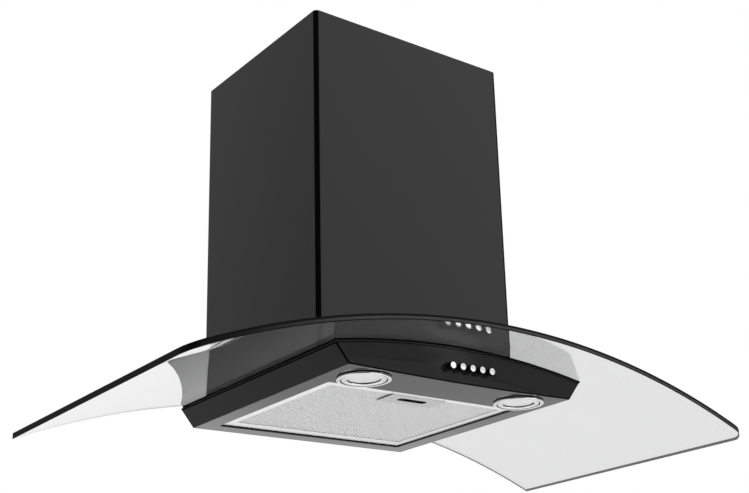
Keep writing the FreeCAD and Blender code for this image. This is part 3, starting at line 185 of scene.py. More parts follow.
# Materials: each finish is one function; effects that several share are node groups
def orange_peel_group():
    """Fine waves of a baked enamel coat, as a height."""
    group, given, result = new_group("orange_peel", [
        ("Position", "Vector", None), ("Wave", "Float", 0.0016), ("Grain", "Float", 0.0003)],
        [("Height", "Float")])
    wave, grain = (add_node(group, "ShaderNodeTexNoise", Vector=given["Position"], Detail=1.5,
                            Scale=math_node(group, "DIVIDE", 1.0, given[size])).outputs["Fac"]
                   for size in ("Wave", "Grain"))
    connect(group, math_node(group, "MULTIPLY_ADD", grain, 0.25, wave), result["Height"])
    return group


def handling_group():
    """Patchy roughness left by wiping and handling."""
    group, given, result = new_group("handling_marks", [
        ("Position", "Vector", None), ("Roughness", "Float", 0.2), ("Spread", "Float", 0.06),
        ("Patch", "Float", 0.05)], [("Roughness", "Float"), ("Mask", "Float")])
    mask = add_node(group, "ShaderNodeTexNoise", Vector=given["Position"], Detail=5, Roughness=0.6,
                    Distortion=0.4, Scale=math_node(group, "DIVIDE", 1.0, given["Patch"])).outputs["Fac"]
    centred = math_node(group, "SUBTRACT", mask, 0.5)
    rough = math_node(group, "MULTIPLY_ADD", centred, given["Spread"], given["Roughness"])
    connect(group, rough, result["Roughness"])
    connect(group, mask, result["Mask"])
    return group


def brushed_group():
    """Fine parallel lines of brushed or rolled metal; Stretch gives the line length along each axis."""
    group, given, result = new_group("brushed_lines", [
        ("Position", "Vector", None), ("Stretch", "Vector", (1.0, 40.0, 40.0)), ("Scale", "Float", 60.0)],
        [("Height", "Float"), ("Tone", "Float")])
    stretched = vector_math(group, "MULTIPLY", given["Position"], given["Stretch"])
    lines = add_node(group, "ShaderNodeTexNoise", Vector=stretched, Scale=given["Scale"], Detail=4)
    for label in ("Height", "Tone"):
        connect(group, lines.outputs["Fac"], result[label])
    return group


def dust_group():
    """A little dust on faces that look up, and more in some patches."""
    group, given, result = new_group("settled_dust", [
        ("Position", "Vector", None), ("Colour", "Color", (0.02, 0.02, 0.02, 1)),
        ("Dust", "Color", (0.35, 0.34, 0.32, 1)), ("Amount", "Float", 0.12)], [("Colour", "Color")])
    normal = group.nodes.new("ShaderNodeNewGeometry").outputs["Normal"]
    upward = math_node(group, "MAXIMUM", axes(group, normal)["Z"], 0.0)
    noise = add_node(group, "ShaderNodeTexNoise", Vector=given["Position"], Scale=30, Detail=6)
    patch = math_node(group, "MULTIPLY", upward, noise.outputs["Fac"])
    amount = math_node(group, "MULTIPLY", patch, given["Amount"])
    connect(group, mixed_colours(group, amount, given["Colour"], given["Dust"]), result["Colour"])
    return group


ORANGE_PEEL = orange_peel_group()
HANDLING = handling_group()
BRUSHED = brushed_group()
DUST = dust_group()


class Finish:
    """A material under construction: its tree, its shader and the position on the piece."""

    def __init__(self, name, colour, roughness, metallic=0.0, ior=1.5):
        self.material = bpy.data.materials.new(name)
        self.material.use_nodes = True
        self.material.diffuse_color = (*colour, 1)
        self.tree = self.material.node_tree
        self.shader = self.tree.nodes["Principled BSDF"]
        self.set(Base_Color=(*colour, 1), Roughness=roughness, Metallic=metallic, IOR=ior)
        self.position = self.tree.nodes.new("ShaderNodeTexCoord").outputs["Object"]

    def set(self, **values):
        for label, value in values.items():
            self.shader.inputs[label.replace("_", " ")].default_value = value

    def group(self, group, **values):
        node = self.tree.nodes.new("ShaderNodeGroup")
        node.node_tree = group
        for label, value in (("Position", self.position), *values.items()):
            connect(self.tree, value, node.inputs[label])
        return node

    def link(self, output, label):
        self.tree.links.new(output, self.shader.inputs[label])

    def bump(self, height, strength, distance):
        node = add_node(self.tree, "ShaderNodeBump", Height=height, Strength=strength, Distance=distance)
        self.link(node.outputs["Normal"], "Normal")

    def handled(self, roughness, spread, patch):
        """Roughness that changes a little from patch to patch."""
        marks = self.group(HANDLING, Roughness=roughness, Spread=spread, Patch=patch)
        self.link(marks.outputs["Roughness"], "Roughness")

    def dusty(self, colour, amount):
        dust = self.group(DUST, Colour=(*colour, 1), Amount=amount)
        self.link(dust.outputs["Colour"], "Base Color")

    def ramp(self, value, stops):
        node = add_node(self.tree, "ShaderNodeValToRGB", Fac=value)
        ramp = node.color_ramp
        while len(ramp.elements) < len(stops):
            ramp.elements.new(0.5)
        for element, (spot, colour) in zip(ramp.elements, stops):
            element.position = spot
            element.color = (*colour, 1)
        return node.outputs["Color"]


def grey(level):
    return (level, level, level)


def black_enamel(name, peel=0.06, roughness=0.12, ior=1.44, tone=0.005):
    """Glossy black baked coat on sheet steel."""
    finish = Finish(name, grey(tone), roughness, ior=ior)
    finish.dusty(grey(tone), 0.03)
    finish.handled(roughness, 0.08, 0.09)
    finish.bump(finish.group(ORANGE_PEEL, Wave=0.0018, Grain=0.0004).outputs["Height"], peel, 0.0001)
    return finish.material


def arch_depth(tree, spot):
    """How far a spot lies between the glass's two faces: 0 on the underside, 1 on top."""
    height = math_node(tree, "SUBTRACT", spot["Z"], ARCH_CENTRE)
    across = math_node(tree, "MULTIPLY", spot["X"], spot["X"])
    radius = math_node(tree, "SQRT", math_node(tree, "MULTIPLY_ADD", height, height, across))
    return math_node(tree, "DIVIDE", math_node(tree, "SUBTRACT", radius, ARCH_RADIUS), GLASS_THICKNESS)


def canopy_glass():
    """Clear toughened glass, a touch grey in its thickness, with faint marks of wiping."""
    finish = Finish("canopy_glass", (0.765, 0.77, 0.768), 0.0, ior=1.58)
    finish.set(Transmission_Weight=0.965)
    marks = finish.group(HANDLING, Patch=0.08)
    tint = finish.ramp(marks.outputs["Mask"], [(0.3, (0.759, 0.764, 0.762)), (0.7, (0.771, 0.776, 0.774))])
    finish.link(tint, "Base Color")
    return finish.material


def ground_edge(name, low, high):
    """Cut edge of the glass: polished arrises and ground marks between them; the dark band along each arris
    and the darkening towards the left are painted shade for light lost inside the glass.
    """
    finish = Finish(name, grey(low), 0.5)
    finish.set(Specular_IOR_Level=0.1)
    tree = finish.tree
    lines = finish.group(BRUSHED, Stretch=(4.0, 4.0, 90.0), Scale=14.0)
    ground = finish.ramp(lines.outputs["Tone"], [(0.3, grey(low)), (0.7, grey(high))])
    spot = axes(tree, finish.position)
    # Painted shade: a dark band along each arris
    bands = finish.ramp(arch_depth(tree, spot), [
        (0.12, grey(0.04)), (0.22, grey(1.0)), (0.56, grey(1.0)), (0.66, grey(0.04))])
    banded = mixed_colours(tree, 1.0, ground, bands, "MULTIPLY")
    # Painted shade, darker towards the left end
    painted_shade_left = smooth_step(tree, spot["X"], -0.43, -0.2, 0.05)
    finish.link(mixed_colours(tree, painted_shade_left, (0, 0, 0, 1), banded), "Base Color")
    finish.bump(lines.outputs["Height"], 0.15, 0.0002)
    return finish.material


def metal(name, dark, light, roughness, spread, stretch, scale, bump=0.08, bare=1.0):
    """Bare or plated metal with fine lines from its making; oxide dulls it where it is less bare."""
    finish = Finish(name, light, roughness, metallic=bare, ior=1.45)
    lines = finish.group(BRUSHED, Stretch=stretch, Scale=scale)
    finish.link(finish.ramp(lines.outputs["Tone"], [(0.25, dark), (0.75, light)]), "Base Color")
    finish.handled(roughness, spread, 0.02)
    finish.bump(lines.outputs["Height"], bump, 0.00012)
    return finish.material


def galvanised():
    """Zinc-coated sheet with its frost-like spangle."""
    finish = Finish("galvanised", grey(0.55), 0.42, metallic=1.0)
    cells = add_node(finish.tree, "ShaderNodeTexVoronoi", Vector=finish.position, Scale=260)
    tone = add_node(finish.tree, "ShaderNodeRGBToBW", Color=cells.outputs["Color"])
    spangle = finish.ramp(tone.outputs[0], [(0.2, (0.52, 0.53, 0.54)), (0.85, (0.62, 0.63, 0.64))])
    finish.link(spangle, "Base Color")
    finish.handled(0.4, 0.2, 0.012)
    return finish.material


def plastic(name, colour, roughness, grain=0.0005, bump=0.25, gloss=0.5, dusty=0.06):
    """Moulded plastic with a fine spark-eroded grain."""
    finish = Finish(name, colour, roughness, ior=1.46)
    finish.set(Specular_IOR_Level=gloss)
    finish.dusty(colour, dusty)
    finish.handled(roughness, 0.12, 0.015)
    skin = finish.group(ORANGE_PEEL, Wave=grain, Grain=grain / 3)
    finish.bump(skin.outputs["Height"], bump, 0.00006)
    return finish.material


def frosted_glass():
    """Lamp lens: acid-etched glass, unlit, pale grey in daylight."""
    finish = Finish("frosted_glass", grey(0.86), 0.35, ior=1.45)
    finish.set(Transmission_Weight=0.2)
    frost = finish.group(ORANGE_PEEL, Wave=0.0007, Grain=0.00025)
    finish.bump(frost.outputs["Height"], 0.3, 0.0001)
    finish.handled(0.36, 0.1, 0.01)
    return finish.material


FINISHES = {
    "black_sheet": black_enamel("black_enamel"),
    "panel_sheet": black_enamel("panel_enamel", peel=0.04, roughness=0.08),
    "canopy_glass": canopy_glass(),
    "rubber": plastic("black_rubber", grey(0.002), 0.7, grain=0.0009, gloss=0.04, dusty=0.02),
    "chrome": metal("satin_chrome", grey(0.80), grey(0.92), 0.16, 0.08, (30, 30, 30), 20, 0.04),
    "galvanised": galvanised(),
    "zinc_screw": metal("zinc_plate", (0.52, 0.53, 0.55), (0.74, 0.75, 0.77), 0.3, 0.15, (60, 60, 60), 20),
    "black_plastic": plastic("black_plastic", grey(0.005), 0.42, gloss=0.2),
    "white_plastic": plastic("white_plastic", (0.74, 0.73, 0.70), 0.4),
    "cast_motor": metal("cast_aluminium", grey(0.34), grey(0.56), 0.5, 0.2, (50, 50, 50), 14, 0.5),
    "frosted_glass": frosted_glass(),
    "lamp_reflector": metal("pressed_reflector", grey(0.82), grey(0.94), 0.2, 0.1, (30, 30, 30), 30),
    "filter_aluminium": metal("brushed_aluminium", grey(0.92), grey(0.98), 0.32, 0.1, (3, 60, 60), 12),
    "filter_mesh": metal("expanded_aluminium", grey(0.86), grey(0.94), 0.5, 0.15, (40, 40, 40), 16,
                         bare=0.3),
}
# The glass's cut faces and arrises: their dark colours are painted shade for light lost inside the glass
EDGE_GROUND = ground_edge("glass_edge", 0.03, 0.06)
EDGE_ARRIS = ground_edge("glass_arris", 0.002, 0.004)
FASCIA = black_enamel("fascia_enamel", peel=0.03, roughness=0.1, ior=1.27, tone=0.011)
LATCH_GREY = metal("latch_aluminium", grey(0.52), grey(0.62), 0.35, 0.1, (3, 60, 60), 12)
FLEECE = metal("aluminium_fleece", grey(0.86), grey(0.94), 0.7, 0.1, (50, 50, 50), 30, 0.3, bare=0.3)
CAP_CHROME = metal("cap_chrome", grey(0.94), grey(0.98), 0.1, 0.05, (30, 30, 30), 20, 0.03)
# Matt black for the caps' black sides, and painted shade on seams, grooves, bends and shaded sides
BLACK_AND_PAINTED_SHADE = plastic("blackened_edge", grey(0.0015), 0.7, gloss=0.02, dusty=0.004)

SLOT_OF = {part["node"]: part["material_slot"] for part in frame["record"]["subparts"]}


# Making pieces
def middle_of(node):
    low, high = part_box(node)
    return (low + high) / 2


def mesh_from(bm):
    """The mesh of a closed shape, its faces turned outward."""
    bmesh.ops.recalc_face_normals(bm, faces=bm.faces)
    mesh = bpy.data.meshes.new("made")
    bm.to_mesh(mesh)
    bm.free()
    return mesh


def piece_from(mesh, name):
    mesh.name = name
    piece = bpy.data.objects.new(name, mesh)
    SCENE.collection.objects.link(piece)
    return piece


def fixed_mesh(piece):
    """Replaces a piece's mesh by what its modifiers make of it."""
    graph = bpy.context.evaluated_depsgraph_get()
    graph.update()
    made = bpy.data.meshes.new_from_object(piece.evaluated_get(graph), depsgraph=graph)
    made.name = piece.name
    piece.modifiers.clear()
    piece.data = made


def smooth(piece, degrees):
    piece.data.shade_smooth()
    piece.data.set_sharp_from_angle(angle=math.radians(degrees))


def rounded_edges(piece, width, segments=2, degrees=35, material=-1, pick=None):
    """Rounds the edges sharper than the angle, or only those whose middle the pick accepts."""
    bevel = piece.modifiers.new("rounding", "BEVEL")
    bevel.width = width
    bevel.segments = segments
    bevel.limit_method = "ANGLE"
    bevel.angle_limit = math.radians(degrees)
    bevel.material = material
    if pick:
        mesh = piece.data
        weights = mesh.attributes.new("bevel_weight_edge", "FLOAT", "EDGE")
        bm = bmesh.new()
        bm.from_mesh(mesh)
        for edge, weight in zip(bm.edges, weights.data):
            sharp = edge.calc_face_angle(0) > math.radians(degrees)
            weight.value = 1.0 if sharp and pick((edge.verts[0].co + edge.verts[1].co) / 2) else 0.0
        bm.free()
        bevel.limit_method = "WEIGHT"
    fixed_mesh(piece)


def flat_faces_stay_flat(piece):
    """Large faces keep their own normals, so that a rounded edge doesn't shade them."""
    weighted = piece.modifiers.new("normals", "WEIGHTED_NORMAL")
    weighted.keep_sharp = True
    weighted.weight = 100
    fixed_mesh(piece)


def finish_piece(piece, node, material=None, rides=True):
    """Gives a piece its finish, by its slot unless one is given, and puts it in the place of the CAD node it
    stands for.
    """
    slot = SLOT_OF[node]
    if material is not None or not piece.data.materials:
        piece.data.materials.clear()
        piece.data.materials.append(material or FINISHES[slot])
    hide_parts(node)
    if rides:
        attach(piece, NODES[node]["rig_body"])
    return piece


def merged_copy(node, name):
    """The CAD node's own mesh, with its loose triangles joined into flat faces."""
    mesh = NODES[node].data.copy()
    mesh.materials.clear()
    bm = bmesh.new()
    bm.from_mesh(mesh)
    bmesh.ops.remove_doubles(bm, verts=bm.verts, dist=2e-6)
    bmesh.ops.dissolve_limit(bm, angle_limit=math.radians(0.6), verts=bm.verts, edges=bm.edges)
    bm.to_mesh(mesh)
    bm.free()
    return piece_from(mesh, name)


def darken_above(piece, level):
    """Sides that look outward take the seam's tone above a level, where the part over them shades them."""
    bm = bmesh.new()
    bm.from_mesh(piece.data)
    bmesh.ops.bisect_plane(bm, geom=bm.verts[:] + bm.edges[:] + bm.faces[:],
                           plane_co=(0, 0, level), plane_no=(0, 0, 1))
    for face in bm.faces:
        middle = face.calc_center_median()
        if middle.z > level and face.normal.x * math.copysign(1, middle.x) > 0.4:
            face.material_index = 1
    bm.to_mesh(piece.data)
    bm.free()


def refined(node, name, width, segments=2, material=None, pick=None, seam=False, rides=True,
            dark_above=None):
    """The CAD node with its edges rounded; a seam has its rounded edges in the shadow tone of a joint."""
    piece = merged_copy(node, name)
    if seam:
        piece.data.materials.append(material or FINISHES[SLOT_OF[node]])
        piece.data.materials.append(BLACK_AND_PAINTED_SHADE)
    if width:
        rounded_edges(piece, width, segments, material=1 if seam else -1, pick=pick)
    if dark_above is not None:
        darken_above(piece, dark_above)
    smooth(piece, 40)
    flat_faces_stay_flat(piece)
    return finish_piece(piece, node, material=None if seam else material, rides=rides)


def lathe(profile, steps, dark=()):
    """Turned about Z from (radius, height) points in millimetres; bands in dark get the second material."""
    bm = bmesh.new()
    turn = [2 * math.pi * k / steps for k in range(steps)]
    rings = []
    for radius, height in ((r / 1000, z / 1000) for r, z in profile):
        spots = [(radius * math.cos(a), radius * math.sin(a)) for a in turn] if radius else [(0, 0)]
        rings.append([bm.verts.new((x, y, height)) for x, y in spots])
    closed = all(radius for radius, _ in profile)
    for band, (low, high) in enumerate(zip(rings, rings[1:] + rings[:1] if closed else rings[1:])):
        for k in range(steps):
            after = (k + 1) % steps
            near = (low[k], low[after]) if len(low) > 1 else (low[0],)
            far = (high[after], high[k]) if len(high) > 1 else (high[0],)
            bm.faces.new(near + far).material_index = 1 if band in dark else 0
    return mesh_from(bm)


def joined(meshes, name):
    """Several meshes, each with its placement, as one piece."""
    bm = bmesh.new()
    for mesh, place in meshes:
        placed = mesh.copy()
        placed.transform(place)
        bm.from_mesh(placed)
    result = bpy.data.meshes.new(name)
    bm.to_mesh(result)
    bm.free()
    return piece_from(result, name)


# Glass canopy: a bent sheet, notched round the chimney, with ground and chamfered edges
def eased(value, first, last):
    """0 up to first, 1 from last on, and a smooth turn between them."""
    share = min(max((value - first) / (last - first), 0), 1)
    return share * share * (3 - 2 * share)


def lean_front_strip(piece):
    """Bending left the sheet's front strip slightly dished on both faces; only its normals show it."""
    lean = 0.03
    mesh = piece.data
    normals = [Vector(corner.vector) for corner in mesh.corner_normals]
    for face in mesh.polygons:
        if face.material_index:
            continue
        side = 1 if face.normal.z > 0 else -1
        for loop in face.loop_indices:
            x, y, _ = mesh.vertices[mesh.loops[loop].vertex_index].co
            along = max(eased(x, -0.2, -0.11) * eased(x, 0.13, 0.0), eased(x, -0.372, -0.417))
            normals[loop].y += side * lean * along * eased(y, -0.425, -0.435)
            normals[loop].normalize()
    mesh.normals_split_custom_set(normals)


def arch(radius, x):
    """Height at x of the circle that the glass and all under it follow."""
    return ARCH_CENTRE + math.sqrt(radius * radius - x * x)


def spread(first, last, count):
    """count + 1 even steps from first to last."""
    return [first + (last - first) * k / count for k in range(count + 1)]


def glass_sheet():
    low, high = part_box("glass_canopy")
    half, front, back = high.x, low.y, high.y
    corner = 0.022
    notch_half, notch_front, notch_corner = 0.171, -0.305, 0.0073

    def corner_columns(reach, radius, step):
        """Columns close together where the outline goes round a corner."""
        return [reach - radius + radius * math.sin(math.radians(a)) for a in range(0, 91, step)]

    columns = spread(0, notch_half - notch_corner, 22)[:-1] + corner_columns(notch_half, notch_corner, 15)
    columns += spread(notch_half, half - corner, 34)[1:-1] + corner_columns(half, corner, 10)
    columns = [-x for x in reversed(columns[1:])] + columns

    def outline(x, line, reach, radius):
        """Straight across, then back round a corner that ends at the reach."""
        past = abs(x) - (reach - radius)
        return line if past <= 0 else line + radius - math.sqrt(max(radius * radius - past * past, 0))

    def front_edge(x):
        return outline(x, front, half, corner)

    def notch_edge(x):
        return outline(x, notch_front, notch_half, notch_corner)

    bm = bmesh.new()
    cache = {}

    def vertex(x, y, top):
        key = (round(x, 6), round(y, 6), top)
        if key not in cache:
            radius = ARCH_RADIUS + (GLASS_THICKNESS if top else 0)
            cache[key] = bm.verts.new((x, y, arch(radius, x)))
        return cache[key]

    def cell(left, right, near, far):
        """near and far give a row's y at a column; the cell is made on both faces of the sheet."""
        for top in (False, True):
            ring = []
            for x, row in ((left, near), (right, near), (right, far), (left, far)):
                corner_vertex = vertex(x, row(x), top)
                if corner_vertex not in ring:
                    ring.append(corner_vertex)
            if len(ring) > 2:
                bm.faces.new(ring if top else ring[::-1])

    rows = 16
    bands = [lambda x, share=k / rows: front_edge(x) + (notch_front - front_edge(x)) * share
             for k in range(rows + 1)]
    side_top = notch_front + notch_corner
    for left, right in zip(columns, columns[1:]):
        for near, far in zip(bands, bands[1:]):
            cell(left, right, near, far)
        inner = min(abs(left), abs(right))
        if inner >= notch_half - notch_corner - 1e-9:
            if inner >= notch_half - 1e-9:
                cell(left, right, lambda x: notch_front, lambda x: side_top)
                ys = spread(side_top, back, 8)
                for near, far in zip(ys, ys[1:]):
                    cell(left, right, lambda x, y=near: y, lambda x, y=far: y)
            else:
                cell(left, right, lambda x: notch_front, notch_edge)
    rim = [edge for edge in bm.edges if len(edge.link_faces) == 1]
    upper = {key[:2]: v for key, v in cache.items() if key[2]}
    where = {v: key for key, v in cache.items()}
    for edge in rim:
        first, second = edge.verts
        if where[first][2]:
            continue
        face = bm.faces.new((first, second, upper[where[second][:2]], upper[where[first][:2]]))
        face.material_index = 1
    mesh = mesh_from(bm)
    for material in (FINISHES["canopy_glass"], EDGE_GROUND, EDGE_ARRIS):
        mesh.materials.append(material)
    piece = piece_from(mesh, "glass_sheet")
    rounded_edges(piece, 0.0009, segments=1, degrees=50, material=2)
    smooth(piece, 30)
    lean_front_strip(piece)
    return finish_piece(piece, "glass_canopy")


# Chimney covers: sheet folded into a U, open to the wall
def folded_cover(node, name, bend, foot):
    """The bends' outer skin takes painted shade, standing in for the dark that the rounded bends reflect;
    foot gives the lower edge's height at an x.
    """
    low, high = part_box(node)
    half, front, back = high.x, low.y, high.y
    bend_steps = 12
    return_width = 0.022

    def route(inset):
        """Plan of one skin, from the left return round the front to the right return."""
        radius = bend - inset
        path = [(-half + (inset or SHEET) + return_width, back - inset), (-half + inset, back - inset)]
        path += [(-half + inset, y) for y in spread(back, front + bend, 6)[1:-1]]
        for k in range(bend_steps + 1):
            angle = math.pi + math.pi / 2 * k / bend_steps
            path.append((-half + inset + radius + radius * math.cos(angle),
                         front + inset + radius + radius * math.sin(angle)))
        path += [(x, front + inset) for x in spread(-half + bend, half - bend, 40)[1:-1]]
        path += [(-x, y) for x, y in reversed(path[:bend_steps + 8])]
        return path

    outer, inner = route(0.0), route(SHEET)
    inner[0] = (outer[0][0], back - SHEET)
    inner[-1] = (outer[-1][0], back - SHEET)
    # Faces 7 to bend_steps + 6 are the bend; those next to the flat sheet keep its finish
    first_dark, last_dark = 8, bend_steps + 4
    bm = bmesh.new()
    skins = []
    for path in (outer, inner):
        skins.append([(bm.verts.new((x, y, foot(x))), bm.verts.new((x, y, high.z))) for x, y in path])
    count = len(outer)
    for k in range(count - 1):
        a, b = skins[0][k], skins[0][k + 1]
        c, d = skins[1][k], skins[1][k + 1]
        outside = bm.faces.new((a[0], b[0], b[1], a[1]))
        outside.material_index = 1 if first_dark <= min(k, count - 2 - k) <= last_dark else 0
        bm.faces.new((d[0], c[0], c[1], d[1]))
        bm.faces.new((a[1], b[1], d[1], c[1]))
        bm.faces.new((b[0], a[0], c[0], d[0]))
    for k in (0, count - 1):
        a, c = skins[0][k], skins[1][k]
        bm.faces.new((a[0], a[1], c[1], c[0]) if k == 0 else (c[0], c[1], a[1], a[0]))
    mesh = mesh_from(bm)
    mesh.materials.append(FINISHES[SLOT_OF[node]])
    mesh.materials.append(BLACK_AND_PAINTED_SHADE)
    piece = piece_from(mesh, name)
    rounded_edges(piece, 0.0005, segments=2, degrees=50, material=1)
    smooth(piece, 30)
    flat_faces_stay_flat(piece)
    return finish_piece(piece, node)


# Things that repeat: trees of geometry nodes
def new_tree(name, inputs):
    return new_group(name, [("Geometry", "Geometry", None), *inputs, ("Material", "Material", None)],
                     [("Geometry", "Geometry")], "GeometryNodeTree")


def copies_on(tree, points, shape, **more):
    return add_node(tree, "GeometryNodeInstanceOnPoints", Points=points, Instance=shape, **more).outputs[0]


def turned_by(tree, angles):
    return add_node(tree, "FunctionNodeEulerToRotation", Euler=angles).outputs[0]


def end_tree(tree, given, result, geometry):
    """Every tree ends with real geometry and its material."""
    real = add_node(tree, "GeometryNodeRealizeInstances", Geometry=geometry)
    paint = add_node(tree, "GeometryNodeSetMaterial", Geometry=real.outputs[0], Material=given["Material"])
    connect(tree, paint.outputs[0], result["Geometry"])
    return tree


def grown(tree, name, mesh=None, **values):
    """Runs a tree on a mesh and returns the plain mesh it makes."""
    holder = piece_from(mesh or bpy.data.meshes.new(name), name)
    modifier = holder.modifiers.new("grow", "NODES")
    modifier.node_group = tree
    sockets = {item.name: item.identifier for item in tree.interface.items_tree
               if item.item_type == "SOCKET" and item.in_out == "INPUT"}
    for label, value in values.items():
        modifier[sockets[label.replace("_", " ")]] = value
    fixed_mesh(holder)
    made = holder.data
    bpy.data.objects.remove(holder)
    return made


def net_tree():
    """Expanded-metal net: zigzag strands side by side, each shifted by half a cell from the last."""
    tree, given, result = new_tree("expanded_net", [
        ("Width", "Float", 0.3), ("Depth", "Float", 0.25), ("Cell length", "Float", 0.006),
        ("Cell width", "Float", 0.0032), ("Strand", "Float", 0.0006), ("Gauge", "Float", 0.0003)])

    def calc(operation, *values):
        return math_node(tree, operation, *values)

    half = calc("MULTIPLY", given["Width"], 0.5)
    line = add_node(tree, "GeometryNodeCurvePrimitiveLine", End=vector_of(tree, X=half),
                    Start=vector_of(tree, X=calc("MULTIPLY", half, -1.0)))
    half_cell = calc("MULTIPLY", given["Cell length"], 0.5)
    steps = calc("ROUND", calc("DIVIDE", given["Width"], half_cell))
    knots = add_node(tree, "GeometryNodeResampleCurve", Curve=line.outputs[0], Count=steps)
    odd = calc("MODULO", tree.nodes.new("GeometryNodeInputIndex").outputs[0], 2.0)
    sign = calc("SUBTRACT", calc("MULTIPLY", odd, 2.0), 1.0)
    sway = calc("MULTIPLY", sign, calc("MULTIPLY", given["Cell width"], 0.42))
    zigzag = add_node(tree, "GeometryNodeSetPosition", Geometry=knots.outputs[0],
                      Offset=vector_of(tree, Y=sway))
    section = add_node(tree, "GeometryNodeCurvePrimitiveQuadrilateral", Width=given["Strand"],
                       Height=given["Gauge"])
    strand = add_node(tree, "GeometryNodeCurveToMesh", Curve=zigzag.outputs[0],
                      Profile_Curve=section.outputs[0], Fill_Caps=True)
    rows = calc("FLOOR", calc("DIVIDE", given["Depth"], given["Cell width"]))
    pitch = vector_of(tree, Y=given["Cell width"])
    points = add_node(tree, "GeometryNodeMeshLine", Count=rows, Offset=pitch)
    slide = calc("MULTIPLY", calc("SUBTRACT", odd, 0.5), half_cell)
    stagger = add_node(tree, "GeometryNodeSetPosition", Geometry=points.outputs[0],
                       Offset=vector_of(tree, X=slide))
    return end_tree(tree, given, result, copies_on(tree, stagger.outputs[0], strand.outputs[0]))


NET = net_tree()


def net_piece(node, name, panels, cell):
    """panels are (x low, x high, y low, y high) areas of one net, at the middle height of its CAD node."""
    metal_net = FINISHES["filter_mesh"]
    cell_width, strand, gauge = cell * 0.55, cell * 0.37, 0.0003
    parts = []
    for x_low, x_high, y_low, y_high in panels:
        mesh = grown(NET, name + "_area", Width=x_high - x_low, Depth=y_high - y_low, Cell_length=cell,
                     Cell_width=cell_width, Strand=strand, Gauge=gauge, Material=metal_net)
        spot = ((x_low + x_high) / 2, y_low + cell * 0.3, middle_of(node).z)
        parts.append((mesh, Matrix.Translation(spot)))
    piece = joined(parts, name)
    piece.data.materials.append(metal_net)
    return finish_piece(piece, node)


def pleated_core(panels, low, high, pitch=0.0065, sheet=0.0005):
    """Filter fleece folded into pleats that run from front to back."""
    bm = bmesh.new()
    for x_low, x_high, y_low, y_high in panels:
        folds = 2 * max(1, round((x_high - x_low) / pitch))
        loops = []
        for k, x in enumerate(spread(x_low, x_high, folds)):
            level = low if k % 2 == 0 else high - sheet
            loops.append([bm.verts.new((x, y, level + z)) for y, z in (
                (y_low, 0), (y_high, 0), (y_high, sheet), (y_low, sheet))])
        for here, after in zip(loops, loops[1:]):
            for k in range(4):
                bm.faces.new((here[k], here[(k + 1) % 4], after[(k + 1) % 4], after[k]))
        bm.faces.new(loops[0][::-1])
        bm.faces.new(loops[-1])
    return finish_piece(piece_from(mesh_from(bm), "filter_fleece"), "filter_core", material=FLEECE)


def place_tree():
    """Puts copies of one shape on the points of a mesh, turned by the points' own attribute."""
    tree, given, result = new_tree("fasteners", [("Shape", "Object", None), ("Size", "Float", 1.0)])
    shape = add_node(tree, "GeometryNodeObjectInfo", Object=given["Shape"])
    turn = add_node(tree, "GeometryNodeInputNamedAttribute", Name="turn")
    turn.data_type = "FLOAT_VECTOR"
    return end_tree(tree, given, result, copies_on(
        tree, given["Geometry"], shape.outputs["Geometry"],
        Rotation=turned_by(tree, turn.outputs["Attribute"]), Scale=given["Size"]))


FASTENERS = place_tree()


def fastener_row(node, name, shapes, spots):
    """spots are (place, turn) of each fastener; the turn is in radians about X, Y and Z."""
    holder = joined([(shape, Matrix()) for shape in shapes], name + "_shape")
    points = bpy.data.meshes.new(name)
    points.from_pydata([spot for spot, _ in spots], [], [])
    turns = points.attributes.new("turn", "FLOAT_VECTOR", "POINT")
    for item, (_, turn) in zip(turns.data, spots):
        item.vector = turn
    made = grown(FASTENERS, name + "_set", points, Shape=holder, Material=FINISHES[SLOT_OF[node]])
    bpy.data.objects.remove(holder)
    piece = piece_from(made, name)
    smooth(piece, 35)
    return finish_piece(piece, node)


# Turned parts that show, as (radius, height) in millimetres; a ring's dark bands are painted shade on its
# walls and in its groove, a cap's dark bands are its black sides
RING = [(21.9, -1.0), (21.9, -2.4), (22.2, -3.1), (23.0, -3.45), (26.0, -3.6), (28.6, -3.5), (29.2, -3.1),
        (29.2, -1.6), (30.3, -1.6), (30.3, -3.3), (30.6, -3.6), (34.6, -3.6), (35.15, -3.4), (35.4, -2.9),
        (35.4, -1.2), (35.4, 0.0), (29.0, 0.0), (29.0, 12.0), (28.2, 12.0), (28.2, -1.0)]
RING_SHADE_BANDS = (0, 7, 8, 9, 14)
LENS = [(0.0, -1.9), (8.0, -1.85), (16.0, -1.6), (20.5, -1.25), (21.5, -1.1), (21.8, -1.0), (21.8, -0.9),
        (22.6, -0.9), (22.6, 0.6), (0.0, 0.6)]
CAP = [(0.0, -3.0), (4.9, -3.0), (5.2, -2.7), (5.2, -0.8), (5.0, -0.45), (4.5, -0.3), (4.4, -0.1),
       (4.1, 0.0), (0.0, 0.0)]
CAP_DARK = (1, 2, 3, 4, 5)


def turned_piece(profile, node, name, dark=(), steps=96):
    """Turned piece on the middle of its CAD node, upright, or for a cap along Y from the node's front."""
    is_cap = profile is CAP
    middle = middle_of(node)
    place = Matrix.Translation((middle.x, middle.y, 0))
    if is_cap:
        front = Vector((middle.x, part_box(node)[0].y, middle.z))
        place = Matrix.Translation(front) @ Matrix.Rotation(math.pi / 2, 4, "X")
    piece = joined([(lathe(profile, steps, dark), place)], name)
    if dark:
        piece.data.materials.append(CAP_CHROME if is_cap else FINISHES[SLOT_OF[node]])
        piece.data.materials.append(BLACK_AND_PAINTED_SHADE)
    smooth(piece, 30)
    flat_faces_stay_flat(piece)
    return finish_piece(piece, node)


